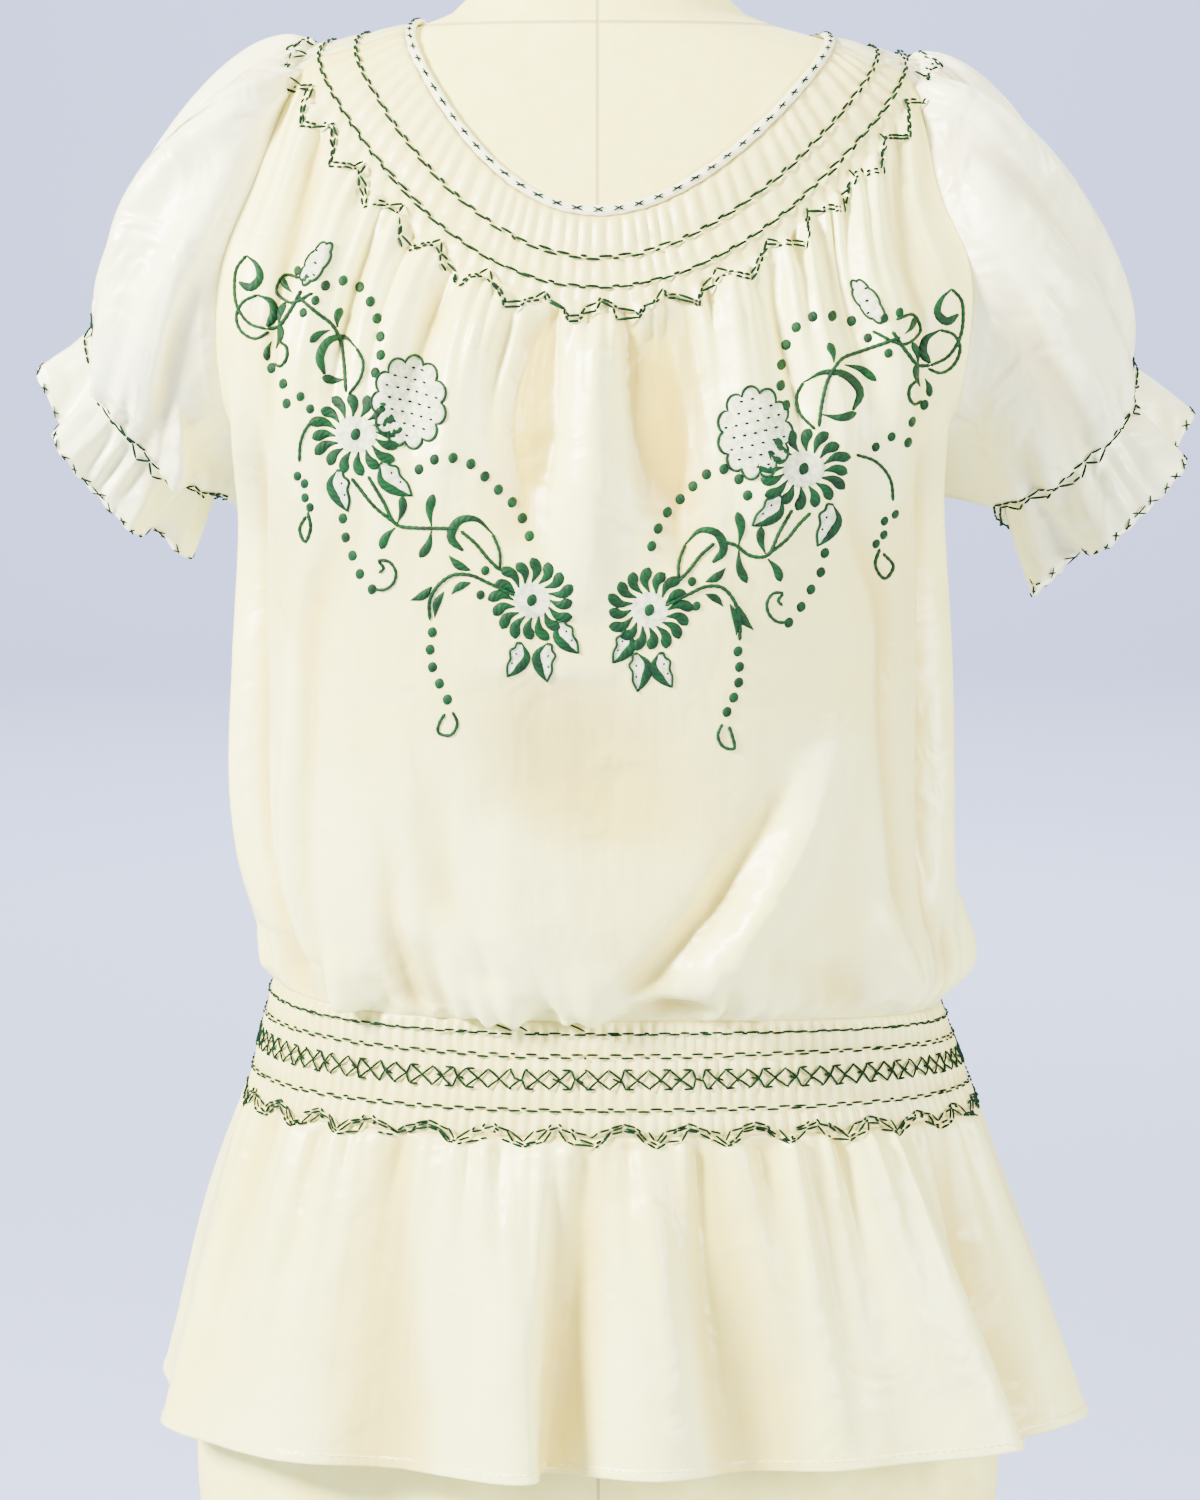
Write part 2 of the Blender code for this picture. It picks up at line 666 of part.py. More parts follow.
def weld(grids):
    """All grids as one surface: points, pleat heights, and each piece's faces."""
    points, heights, faces, first = [], [], {}, 0
    for name, points_grid, pleats, closed, flipped in grids:
        rows, columns = points_grid.shape[:2]
        faces.setdefault(name, []).extend(grid_faces(first, rows, columns, closed, flipped))
        points.append(points_grid.reshape(-1, 3))
        heights.append(np.broadcast_to(pleats, (rows, columns)).ravel())
        first += rows * columns
    points, heights = np.concatenate(points), np.concatenate(heights)
    _, kept, number = np.unique(np.round(points, 5), axis=0, return_index=True, return_inverse=True)
    number = number.reshape(-1)
    tallest = np.zeros(len(kept))
    np.maximum.at(tallest, number, heights)
    return points[kept], tallest, {name: number[np.array(f)] for name, f in faces.items()}


def point_normals(points, quads):
    """The mean direction of the faces round each point."""
    corners = points[quads]
    across = np.cross(corners[:, 2] - corners[:, 0], corners[:, 3] - corners[:, 1])
    normals = np.zeros_like(points)
    for k in range(4):
        np.add.at(normals, quads[:, k], across)
    return unit(normals)


def border(quads):
    """The edges that one face alone has, as pairs of points in that face's order."""
    edges = np.concatenate([quads[:, [k, (k + 1) % 4]] for k in range(4)])
    owner = np.tile(np.arange(len(quads)), 4)
    keys = np.sort(edges, axis=1)
    _, index, count = np.unique(keys, axis=0, return_inverse=True, return_counts=True)
    alone = count[index.reshape(-1)] == 1
    return edges[alone], owner[alone]


def wall_mesh(name, points, normals, heights, quads, neighbours):
    """One piece of cloth as a closed wall, drawn back a little from each seam that it shares."""
    edges, owner = border(quads)
    shared = {tuple(sorted(e)) for e in border(neighbours)[0]} if len(neighbours) else set()
    inward = {}
    for (a, b), face in zip(edges, owner):
        if tuple(sorted((a, b))) not in shared:
            continue
        run = unit(points[b] - points[a])
        into = points[quads[face]].mean(axis=0) - points[a]
        into = unit(into - run * (into @ run))
        for corner in (a, b):
            inward.setdefault(corner, []).append(into)
    placed = points.copy()
    for corner, ways in inward.items():
        total = np.sum(ways, axis=0)
        if len(ways) == 2:
            total = total / max(1 + float(ways[0] @ ways[1]), MITRE_LIMIT)
        placed[corner] += total * SEAM_GAP / 2
    used = np.unique(quads)
    number = {old: new for new, old in enumerate(used)}
    outer = placed[used] + normals[used] * (WALL / 2 + heights[used])[:, None]
    inner = placed[used] - normals[used] * WALL / 2
    count = len(used)
    faces = []
    for quad in quads:
        a, b, c, d = (number[p] for p in quad)
        faces += [[a, b, c], [a, c, d]]
        faces += [[c + count, b + count, a + count], [d + count, c + count, a + count]]
    for first, second in edges:
        a, b = number[first], number[second]
        if first < second:
            faces += [[b, a, a + count], [b, a + count, b + count]]
        else:
            faces += [[b, a, b + count], [a, a + count, b + count]]
    mesh = bpy.data.meshes.new(name)
    mesh.from_pydata(np.concatenate([outer, inner]).tolist(), [], faces)
    return mesh


# Objects


def material(name):
    colour, roughness, metallic = COLOURS[name]
    made = bpy.data.materials.new(name)
    made.use_nodes = True
    shader = made.node_tree.nodes["Principled BSDF"]
    shader.inputs["Base Color"].default_value = (*colour, 1.0)
    shader.inputs["Roughness"].default_value = roughness
    shader.inputs["Metallic"].default_value = metallic
    return made


def add_object(name, mesh, finish, materials):
    made = bpy.data.objects.new(name, mesh)
    mesh.materials.append(materials[finish])
    mesh.shade_smooth()
    bpy.context.scene.collection.objects.link(made)
    return made


def cloth_grids():
    """Every grid of the blouse: piece, points, pleat heights, closed round, turned over."""
    at = np.linspace(-1, 1, PANEL_COLUMNS + 1)
    raglan = np.linspace(SMOCK_ROW, UNDERARM_ROW, RAGLAN_ROWS, endpoint=False)
    down = np.concatenate([np.arange(SMOCK_ROW), raglan, LOWER_ROWS])
    pleat = PLEAT_HEIGHT * (np.arange(PANEL_COLUMNS + 1) % 2)
    smocked = np.where((down > 0) & (down <= SMOCK_ROW), 1.0, 0.0)
    grids = []
    for face, turned in (("front", True), ("back", False)):
        grids.append((f"bodice_{face}", bodice(face, at, down), smocked[:, None] * pleat, False, turned))
    neck_pleat = PLEAT_HEIGHT * (np.arange(NECK_COLUMNS + 1) % 2)
    for side in ("left", "right"):
        sign = -1 if side == "left" else 1
        angles = sign * np.linspace(RAGLAN_ANGLE, 180 - RAGLAN_ANGLE, NECK_COLUMNS + 1)
        top = np.array([bodice_smock_row(side, row, angles) for row in range(SMOCK_ROW + 1)])
        name = f"sleeve_{side}"
        grids.append((name, top, np.array([[0.0], [1.0], [1.0]]) * neck_pleat, False, side == "right"))
        tube = sleeve(side, RAGLAN_ROWS, NECK_COLUMNS, np.linspace(0, 1, SLEEVE_ROWS + 1))
        grids.append((name, tube, 0.0, True, side == "right"))
        places = armhole(side, RAGLAN_ROWS, NECK_COLUMNS)[1]
        frill = flounce(side, places, np.linspace(0, 1, FLOUNCE_ROWS + 1))
        frill[0] = tube[-1]
        grids.append((name, frill, 0.0, True, side == "right"))
    band_at = np.linspace(0, 1, BAND_ROWS + 1)
    peplum_at = np.linspace(0, 1, PEPLUM_ROWS + 1)
    for face, turned in (("front", True), ("back", False)):
        band = waistband(face, at, band_at)
        band[0] = bodice(face, at, np.array([WAIST_ROW], float))[0]
        grids.append(("waistband", band, np.array([[0.0], [1.0], [1.0]]) * pleat, False, turned))
        skirt = peplum(face, at, peplum_at)
        skirt[0] = band[-1]
        grids.append((f"peplum_{face}", skirt, 0.0, False, turned))
    return grids


def bodice_smock_row(side, row, angles):
    """A row of the smocked neck over the shoulder, whose ends lie on the raglan seams."""
    ring = neck_ring(row / SMOCK_ROW, angles)
    edge = np.array([-1.0 if side == "left" else 1.0])
    ring[0] = bodice("front", edge, np.array([row], float))[0, 0]
    ring[-1] = bodice("back", edge, np.array([row], float))[0, 0]
    return ring


def add_blouse(materials):
    points, heights, pieces = weld(cloth_grids())
    normals = point_normals(points, np.concatenate(list(pieces.values())))
    for name, quads in pieces.items():
        others = np.concatenate([q for other, q in pieces.items() if other != name])
        add_object(name, wall_mesh(name, points, normals, heights, quads, others), "cloth", materials)


def add_binding(materials):
    """The rolled binding that stands on the neck edge."""
    angles = np.linspace(0, 360, BINDING_STEPS, endpoint=False)
    edge = neck_ring(0.0, (angles + 180) % 360 - 180)
    inner = neck_ring(0.25, (angles + 180) % 360 - 180)
    rise = unit(edge - inner)
    along = unit(np.roll(edge, -1, axis=0) - np.roll(edge, 1, axis=0))
    outward = unit(np.cross(along, rise))
    centre = edge + rise * (2 * SEAM_GAP + BINDING_HALF_WIDTH)
    centre = clear_of_form(centre, BINDING_HALF_DEPTH + REST_GAP - WALL / 2)
    turn = np.linspace(0, 2 * math.pi, BINDING_SIDES, endpoint=False)
    ring = (
        centre[:, None]
        + rise[:, None] * (np.cos(turn) * BINDING_HALF_WIDTH)[None, :, None]
        + outward[:, None] * (np.sin(turn) * BINDING_HALF_DEPTH)[None, :, None]
    )
    count = len(angles)
    faces = []
    for i in range(count):
        for j in range(BINDING_SIDES):
            k, n = (j + 1) % BINDING_SIDES, (i + 1) % count
            here, there = i * BINDING_SIDES, n * BINDING_SIDES
            faces.append([here + j, here + k, there + k, there + j])
    mesh = bpy.data.meshes.new("neck_binding")
    mesh.from_pydata(ring.reshape(-1, 3).tolist(), [], faces)
    face_outwards(mesh)
    add_object("neck_binding", mesh, "binding", materials)


def face_outwards(mesh):
    shape = bmesh.new()
    shape.from_mesh(mesh)
    bmesh.ops.recalc_face_normals(shape, faces=shape.faces)
    shape.to_mesh(mesh)
    shape.free()


def add_form(materials):
    """The dress form's closed torso and neck."""
    rings = form_grid()
    rows, columns = rings.shape[:2]
    points = [rings.reshape(-1, 3)]
    for ring in CROWN:
        lifted = rings[-1] * ring["width"]
        lifted[:, 2] = rings[-1][:, 2] + FORM_CROWN * ring["height"]
        points.append(lifted)
    points = np.concatenate(points)
    faces = grid_faces(0, rows + len(CROWN), columns, True, False)
    faces.append(list(range(columns))[::-1])
    last = (rows + len(CROWN) - 1) * columns
    faces.append(list(range(last, last + columns)))
    mesh = bpy.data.meshes.new("form_torso")
    mesh.from_pydata(points.tolist(), [], faces)
    face_outwards(mesh)
    add_object("form_torso", mesh, "form", materials)


def turned_solid(name, profile, finish, materials):
    """A solid turned round the Z axis from (radius, height) points, from its foot to its top."""
    turn = np.linspace(0, 2 * math.pi, ROUND_STEPS, endpoint=False)
    rings = np.array([[(r * math.cos(a), r * math.sin(a), z) for a in turn] for r, z in profile])
    faces = grid_faces(0, len(profile), ROUND_STEPS, True, False)
    faces.append(list(range(ROUND_STEPS))[::-1])
    last = (len(profile) - 1) * ROUND_STEPS
    faces.append(list(range(last, last + ROUND_STEPS)))
    mesh = bpy.data.meshes.new(name)
    mesh.from_pydata(rings.reshape(-1, 3).tolist(), [], faces)
    face_outwards(mesh)
    made = add_object(name, mesh, finish, materials)
    mesh.set_sharp_from_angle(angle=math.radians(STAND_SHARP))
    return made


def add_stand(materials):
    base = (
        (BASE_RADIUS, 0),
        (BASE_RADIUS, BASE_THICKNESS - BASE_EDGE),
        (BASE_RADIUS - BASE_EDGE, BASE_THICKNESS),
    )
    turned_solid("form_base", base, "metal", materials)
    pole = (
        (POLE_RADIUS, BASE_THICKNESS + SEAM_GAP),
        (POLE_RADIUS, float(FORM["z"][0]) - SEAM_GAP),
    )
    turned_solid("form_pole", pole, "metal", materials)


def main():
    for old in list(bpy.data.objects):
        bpy.data.objects.remove(old)
    materials = {name: material(name) for name in COLOURS}
    add_stand(materials)
    add_form(materials)
    add_blouse(materials)
    add_binding(materials)


main()
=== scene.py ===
"""Embroidered folk blouse on its dress form: the cloth, its stitching and embroidery, and the studio.

Metres, +Z up, the front faces -Y. Tables are in millimetres and become metres as they are read. The cloth's
surfaces are those of the construction solids, worked out more finely and with smaller creases.
"""

import math

import bpy
import numpy as np
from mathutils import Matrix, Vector
from mathutils.bvhtree import BVHTree


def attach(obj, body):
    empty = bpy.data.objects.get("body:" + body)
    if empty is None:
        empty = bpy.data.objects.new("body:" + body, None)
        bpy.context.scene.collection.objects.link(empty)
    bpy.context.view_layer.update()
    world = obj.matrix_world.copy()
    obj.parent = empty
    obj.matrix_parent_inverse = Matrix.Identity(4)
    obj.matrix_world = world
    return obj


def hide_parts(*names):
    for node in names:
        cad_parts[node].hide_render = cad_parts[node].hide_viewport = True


MM = 0.001

# Cloth
CLOTH_THICKNESS = 0.9 * MM
REST_GAP = 1.45 * MM
LOOSE_GAP = 2.4 * MM
SHOULDER_GAP = 6.0 * MM
SHOULDER_FROM = 780 * MM
SHOULDER_FULL = 815 * MM
SMOCK_LIFT = 4.0 * MM

# Rows of the bodice's control net
SMOCK_ROW = 2
UNDERARM_ROW = 6
WAIST_ROW = 12

# The raglan seams cross the smocked neck this far round from the centre front, in degrees.
RAGLAN_ANGLE = 70.0

# Smocked pleats across a panel and across a shoulder, and their heights
PANEL_PLEATS = 44
SHOULDER_PLEATS = 13
BAND_PLEATS = 84
NECK_PLEAT = 1.5 * MM
BAND_PLEAT = 1.35 * MM

# The stitch rows that hold the neck's pleats flat, as rows of the control net
HELD_ROWS = (0.0, 0.86, 1.5, 2.0)


def table(columns, *rows):
    """Named columns of a table written in millimetres, as arrays in metres."""
    return {name: np.array(column, float) * MM for name, column in zip(columns.split(), zip(*rows))}


def records(columns, *rows):
    """A table's rows as dictionaries, one for each row."""
    return [dict(zip(columns.split(), row)) for row in rows]


# The dress form's level sections, from its underside to the top of its neck
FORM = table(
    "z half front back",
    (180, 178, 113, 121),
    (215, 181, 117, 128),
    (265, 178, 119, 131),
    (330, 168, 117, 124),
    (386, 153, 112, 111),
    (432, 140, 105, 99),
    (490, 126, 98, 88),
    (560, 130, 106, 92),
    (620, 137, 121, 100),
    (670, 142, 127, 105),
    (720, 146, 115, 106),
    (770, 149, 101, 104),
    (800, 150, 91, 99),
    (820, 147, 81, 91),
    (834, 135, 73, 83),
    (842, 119, 68, 77),
    (848, 100, 64, 72),
    (854, 78, 61, 67),
    (860, 63, 58, 63),
    (868, 55, 55, 60),
    (900, 52.5, 54, 56),
    (940, 52, 56, 52),
    (964, 51, 57, 50),
)
FORM_POWER = 2.25
FORM_CROWN = 8 * MM
CORE_HEIGHT = 750 * MM

NECK_EDGE = dict(half=91, skew=13, z_front=771, z_shoulder=853, z_back=826, front=93, back=80, bow=1.9)
NECK_LOWER = dict(half=132, skew=11, z_front=737, z_shoulder=846, z_back=786, front=118, back=105, bow=1.6)

# The side lines of the bodice below the smocking, then its middles at the front and the back
SIDES = table(
    "z_left z_right x_left x_right y_front y_back",
    (788, 784, -144, 143, -66, 68),
    (748, 748, -158, 156, -80, 80),
    (697, 699, -158.5, 153, -66, 68),
    (643, 650, -148, 143, 0, 0),
    (588, 590, -150, 145, 4, 4),
    (540, 542, -152.5, 147, 4, 4),
    (502, 500, -151, 150.5, 4, 4),
    (476, 472, -148.5, 157, 4, 4),
    (457, 449, -146, 161, 3, 3),
    (441, 428, -142.5, 151, 0, 0),
)
WRAP = (52, 60, 66, 90, 90, 90, 90, 90, 90, 90)
FRONT = table(
    "z y",
    (700, -124),
    (660, -134),
    (618, -137),
    (575, -134),
    (535, -130),
    (500, -129),
    (474, -129),
    (455, -124),
    (444, -117),
    (438, -111),
)
BACK = table(
    "z y",
    (745, 117),
    (700, 124),
    (655, 125),
    (605, 121),
    (560, 118),
    (520, 119),
    (488, 121),
    (465, 119),
    (449, 112),
    (438, 105),
)
BODICE_POWER = 2.5
BODICE_BOW = 1.3

# Folds run from a place and row to another: across a panel from its left (-1) to its right (1), or round a
# sleeve from the underarm (0) up the front to the shoulder (0.5). The height is in millimetres, less than 0
# for a trough, and the half width is in the same shares as the place.
FOLD = "at_top row_top at_foot row_foot height width"
BODICE_FOLD_STRENGTH = 2.0
SLEEVE_FOLD_STRENGTH = 1.75
FRONT_FOLDS = records(
    FOLD,
    (0.00, 1.6, -0.02, 5.2, 6.5, 0.065),
    (-0.12, 1.7, -0.15, 4.6, -4.0, 0.042),
    (0.12, 1.7, 0.17, 4.8, -5.0, 0.042),
    (-0.27, 1.8, -0.33, 4.4, 3.5, 0.06),
    (0.29, 1.8, 0.36, 4.6, 3.5, 0.06),
    (-0.48, 1.8, -0.52, 4.8, 3.0, 0.055),
    (0.50, 1.8, 0.54, 4.6, 3.0, 0.055),
    (-0.70, 1.9, -0.68, 5.2, 3.0, 0.055),
    (0.72, 1.9, 0.70, 5.4, 3.0, 0.055),
    (-0.92, 4.6, -0.76, 10.2, 5.5, 0.05),
    (0.90, 4.8, 0.78, 10.2, 5.5, 0.05),
    (-0.60, 6.2, -0.62, 10.5, 2.5, 0.06),
    (-0.08, 5.7, 0.06, 7.7, -3.2, 0.14),
    (0.44, 6.8, 0.10, 10.8, 6.5, 0.06),
    (-0.16, 7.2, -0.10, 11.0, 2.5, 0.06),
    (-0.86, 9.6, -0.86, 12.2, 3.0, 0.05),
    (-0.68, 9.2, -0.70, 12.2, -2.5, 0.05),
    (-0.50, 9.6, -0.52, 12.2, 3.5, 0.05),
    (-0.34, 9.0, -0.36, 12.2, -2.5, 0.05),
    (-0.20, 9.8, -0.21, 12.2, 3.0, 0.05),
    (-0.02, 9.4, -0.05, 12.2, 3.0, 0.055),
    (0.12, 9.6, 0.10, 12.2, -3.0, 0.05),
    (0.26, 9.2, 0.25, 12.2, 3.5, 0.05),
    (0.42, 9.6, 0.43, 12.2, -2.5, 0.05),
    (0.57, 9.0, 0.58, 12.2, 3.5, 0.055),
    (0.74, 9.4, 0.73, 12.2, -2.5, 0.05),
    (0.88, 9.2, 0.87, 12.2, 3.5, 0.05),
    # finer creases
    (-0.055, 1.9, -0.085, 4.0, -1.8, 0.022),
    (0.075, 1.9, 0.105, 4.3, -2.2, 0.022),
    (-0.205, 1.9, -0.245, 3.6, -1.4, 0.025),
    (0.215, 1.9, 0.255, 3.7, -1.4, 0.025),
    (-0.38, 1.9, -0.425, 3.9, -1.4, 0.028),
    (0.40, 1.9, 0.455, 3.9, -1.4, 0.028),
    (-0.60, 1.9, -0.61, 4.1, -1.5, 0.028),
    (0.61, 1.9, 0.62, 4.3, -1.5, 0.028),
    (-0.82, 2.0, -0.78, 5.0, -1.8, 0.03),
    (0.83, 2.0, 0.79, 5.2, -1.8, 0.03),
    (-0.84, 4.8, -0.69, 10.0, -5.0, 0.03),
    (0.82, 5.0, 0.70, 10.0, -5.0, 0.03),
    (0.35, 7.0, 0.03, 10.4, -4.6, 0.04),
    (-0.30, 6.8, -0.22, 10.2, -1.2, 0.04),
    (0.60, 6.6, 0.56, 9.8, 1.4, 0.045),
    (-0.44, 7.0, -0.45, 10.4, 1.2, 0.04),
    (-0.55, 4.5, -0.59, 10.6, -2.6, 0.032),
    (0.57, 4.6, 0.62, 10.8, -2.6, 0.032),
    (-0.37, 7.6, -0.39, 11.6, -2.0, 0.028),
    (0.31, 8.8, 0.27, 12.0, -2.2, 0.028),
    (-0.26, 8.4, -0.28, 12.0, 2.2, 0.026),
)
BACK_FOLDS = records(
    FOLD,
    (0.03, 1.6, 0.05, 5.0, 4.5, 0.075),
    (-0.22, 1.7, -0.26, 4.8, 3.5, 0.06),
    (0.26, 1.7, 0.31, 4.4, 3.5, 0.06),
    (-0.47, 1.8, -0.52, 5.0, 3.0, 0.055),
    (0.50, 1.8, 0.55, 4.8, 3.0, 0.055),
    (-0.70, 1.9, -0.69, 5.2, 3.0, 0.055),
    (0.72, 1.9, 0.71, 5.0, 3.0, 0.055),
    (0.88, 5.6, 0.72, 9.0, 4.0, 0.055),
    (-0.88, 5.7, -0.74, 9.4, 4.0, 0.055),
    (-0.10, 5.0, -0.02, 10.4, 3.5, 0.08),
    (0.36, 6.2, 0.28, 10.8, 3.0, 0.07),
    (-0.44, 6.0, -0.38, 10.6, 3.0, 0.07),
    (-0.84, 9.4, -0.84, 12.2, 3.0, 0.05),
    (-0.62, 9.2, -0.62, 12.2, 3.5, 0.05),
    (-0.42, 9.7, -0.43, 12.2, -2.5, 0.05),
    (-0.24, 9.2, -0.24, 12.2, 3.5, 0.055),
    (-0.04, 9.6, -0.05, 12.2, -3.0, 0.05),
    (0.14, 9.1, 0.14, 12.2, 3.5, 0.05),
    (0.34, 9.5, 0.34, 12.2, -2.5, 0.05),
    (0.52, 9.2, 0.53, 12.2, 3.5, 0.055),
    (0.70, 9.6, 0.71, 12.2, -2.5, 0.05),
    (0.86, 9.3, 0.86, 12.2, 3.0, 0.05),
    # finer creases
    (-0.10, 1.9, -0.13, 4.0, -1.8, 0.025),
    (0.15, 1.9, 0.19, 4.2, -1.8, 0.025),
    (-0.35, 1.9, -0.40, 3.9, -1.5, 0.028),
    (0.38, 1.9, 0.43, 4.1, -1.5, 0.028),
    (-0.59, 1.9, -0.61, 4.2, -1.5, 0.028),
    (0.61, 1.9, 0.63, 4.0, -1.5, 0.028),
    (0.20, 6.4, 0.12, 10.2, -1.8, 0.04),
    (-0.26, 6.6, -0.22, 10.0, -1.6, 0.04),
    (0.58, 6.2, 0.52, 9.6, 1.4, 0.04),
    (-0.60, 6.4, -0.55, 9.8, 1.4, 0.04),
)

# The smocked waistband, from its top to its lower edge, and the peplum from there to its hem
BAND = table(
    "z_left z_right z_middle x_left x_right y_front y_back",
    (441, 428, 438, -142.5, 151, -111, 105),
    (414, 405, 414, -149.5, 160, -116, 110),
    (387, 383, 390, -156, 168, -120, 116),
)
PEPLUM = table(
    "z_left z_right z_front z_back x_left x_right y_front y_back",
    (387, 383, 390, 390, -156, 168, -120, 116),
    (354, 352, 357, 358, -166, 180, -129, 127),
    (318, 318, 321, 326, -176, 193, -136, 138),
    (280, 281, 285, 294, -185, 206, -142, 148),
    (243, 246, 251, 262, -193, 217, -147, 157),
)
HIP_POWER = 2.2

# How far the peplum's hem stands out and slides round towards the right, in millimetres
HEM = "at out slide"
HEM_FRONT = records(
    HEM,
    (-1.0, 1, 0),
    (-0.93, -4, 0),
    (-0.82, 8, 0),
    (-0.66, 3, 0),
    (-0.52, 6, 0),
    (-0.34, -9, -3),
    (-0.17, 19, 12),
    (-0.08, -13, -11),
    (0.04, 11, 0),
    (0.20, -11, 0),
    (0.32, 4, 0),
    (0.45, 3, 0),
    (0.56, 19, 11),
    (0.66, -13, -10),
    (0.82, 8, 0),
    (0.93, -3, 0),
    (1.0, 1, 0),
)
HEM_BACK = records(
    HEM,
    (-1.0, 1, 0),
    (-0.88, 9, 0),
    (-0.75, -8, 0),
    (-0.57, 12, 2),
    (-0.42, -9, -2),
    (-0.22, 11, 0),
    (-0.04, -8, 0),
    (0.13, 12, 3),
    (0.28, -9, -3),
    (0.46, 8, 0),
    (0.62, -8, 0),
    (0.78, 9, 0),
    (0.90, -5, 0),
    (1.0, 1, 0),
)
# Rows of these folds run from 0 at the waistband to 1 at the hem.
PEPLUM_FRONT_FOLDS = records(
    FOLD,
    (-0.90, -0.1, -0.88, 0.8, 2.7, 0.03),
    (-0.74, -0.1, -0.76, 0.9, -3.1, 0.03),
    (-0.60, -0.1, -0.62, 0.7, 3.7, 0.03),
    (-0.44, -0.1, -0.46, 0.9, -3.4, 0.028),
    (-0.33, -0.1, -0.30, 0.8, 4.1, 0.028),
    (-0.21, -0.1, -0.25, 1.0, -3.1, 0.025),
    (-0.11, -0.1, -0.13, 0.7, 4.4, 0.022),
    (-0.02, -0.1, -0.04, 0.9, -3.4, 0.025),
    (0.05, -0.1, 0.09, 0.8, 3.7, 0.024),
    (0.14, -0.1, 0.15, 1.0, -3.7, 0.028),
    (0.24, -0.1, 0.27, 0.7, 3.4, 0.026),
    (0.35, -0.1, 0.37, 1.0, -3.1, 0.028),
    (0.46, -0.1, 0.49, 0.8, 3.7, 0.028),
    (0.58, -0.1, 0.62, 0.9, -3.4, 0.03),
    (0.70, -0.1, 0.74, 0.8, 3.4, 0.03),
    (0.86, -0.1, 0.87, 0.9, -3.1, 0.03),
)
PEPLUM_BACK_FOLDS = records(
    FOLD,
    (-0.88, -0.1, -0.87, 0.8, 3.4, 0.03),
    (-0.70, -0.1, -0.72, 0.9, -3.4, 0.03),
    (-0.54, -0.1, -0.56, 0.7, 3.7, 0.028),
    (-0.38, -0.1, -0.37, 1.0, -3.4, 0.028),
    (-0.24, -0.1, -0.27, 0.8, 4.1, 0.026),
    (-0.08, -0.1, -0.07, 0.9, -3.4, 0.026),
    (0.06, -0.1, 0.04, 0.8, 3.7, 0.026),
    (0.22, -0.1, 0.24, 1.0, -3.4, 0.028),
    (0.38, -0.1, 0.36, 0.7, 4.1, 0.028),
    (0.54, -0.1, 0.57, 0.9, -3.1, 0.03),
    (0.72, -0.1, 0.70, 0.8, 3.4, 0.03),
    (0.90, -0.1, 0.88, 0.8, -2.7, 0.03),
)

# Sleeves: each cuff ring, its tilt, and the length of its flounce
CUFFS = {
    "left": dict(centre=(-191, 0, 692), up=(-48, 16, 75), radius=44, lean=0.38, flounce=28),
    "right": dict(centre=(201, 0, 680), up=(44, 36, 57), radius=43, lean=0.38, flounce=34),
}
CUFF_BACK_LEAN = -0.38
CUFF_PINCH = 8 * MM
CUFF_PINCH_AT = 0.35
CUFF_PINCH_WIDTH = 0.05
SEAM_SHARE = 0.32
PUFF = table(
    "out forward up end_swell end_back",
    (14, 0, 4, 9, 2),
    (26, 10, 4, 22, 5),
    (34, 36, -6, 32, 14),
    (32, 26, 2, 30, 20),
    (32, 0, 5, 26, 20),
    (34, -26, 2, 30, 18),
    (40, -30, -4, 32, 14),
    (30, -10, 6, 22, 5),
)
PUFF_AT = np.arange(8) / 8
SLEEVE_FOLDS = {
    "left": records(
        FOLD,
        (0.405, 0.02, 0.305, 1.1, -9.0, 0.030),
        (0.360, 0.02, 0.265, 1.0, 8.0, 0.030),
        (0.45, 0.02, 0.46, 0.9, 5.0, 0.035),
        (0.22, 0.10, 0.20, 0.9, 4.0, 0.045),
        (0.13, 0.1, 0.18, 1.1, -3.0, 0.035),
        (0.50, 0.02, 0.56, 0.8, -4.0, 0.035),
        (0.60, 0.02, 0.58, 1.0, -4.0, 0.040),
        (0.30, 0.03, 0.325, 0.95, 3.5, 0.02),
        (0.39, 0.05, 0.41, 0.9, -2.0, 0.016),
        (0.20, 0.3, 0.21, 1.02, -2.4, 0.02),
        (0.10, 0.45, 0.12, 1.02, 2.4, 0.02),
        (0.46, 0.05, 0.50, 0.7, 2.2, 0.018),
        (0.66, 0.05, 0.66, 0.8, 2.4, 0.02),
        (0.74, 0.1, 0.76, 1.0, -2.6, 0.022),
        (0.86, 0.2, 0.86, 1.0, 2.4, 0.022),
    ),
    "right": records(
        FOLD,
        (0.375, 0.02, 0.445, 1.0, -8.0, 0.028),
        (0.335, 0.02, 0.400, 0.95, 7.0, 0.030),
        (0.44, 0.02, 0.50, 0.9, 4.0, 0.030),
        (0.24, 0.10, 0.28, 0.9, 4.0, 0.045),
        (0.13, 0.1, 0.18, 1.1, -3.0, 0.035),
        (0.50, 0.02, 0.56, 0.8, -4.0, 0.035),
        (0.60, 0.02, 0.58, 1.0, -4.0, 0.040),
        (0.29, 0.02, 0.31, 0.9, -2.4, 0.018),
        (0.38, 0.04, 0.41, 0.85, 2.6, 0.018),
        (0.19, 0.2, 0.22, 1.02, 2.2, 0.018),
        (0.08, 0.5, 0.09, 1.02, -2.0, 0.02),
        (0.47, 0.05, 0.52, 0.8, -2.0, 0.018),
        (0.68, 0.05, 0.67, 0.9, -2.4, 0.02),
        (0.77, 0.1, 0.79, 1.0, 2.6, 0.022),
        (0.90, 0.3, 0.90, 1.0, -2.2, 0.022),
    ),
}
FLOUNCE_FLARE = 0.25
FLOUNCE_DROOP = 0.6
FLOUNCE_WAVES = 8
FLOUNCE_HEIGHT = 5.0 * MM
CUFF_GATHERS = 44

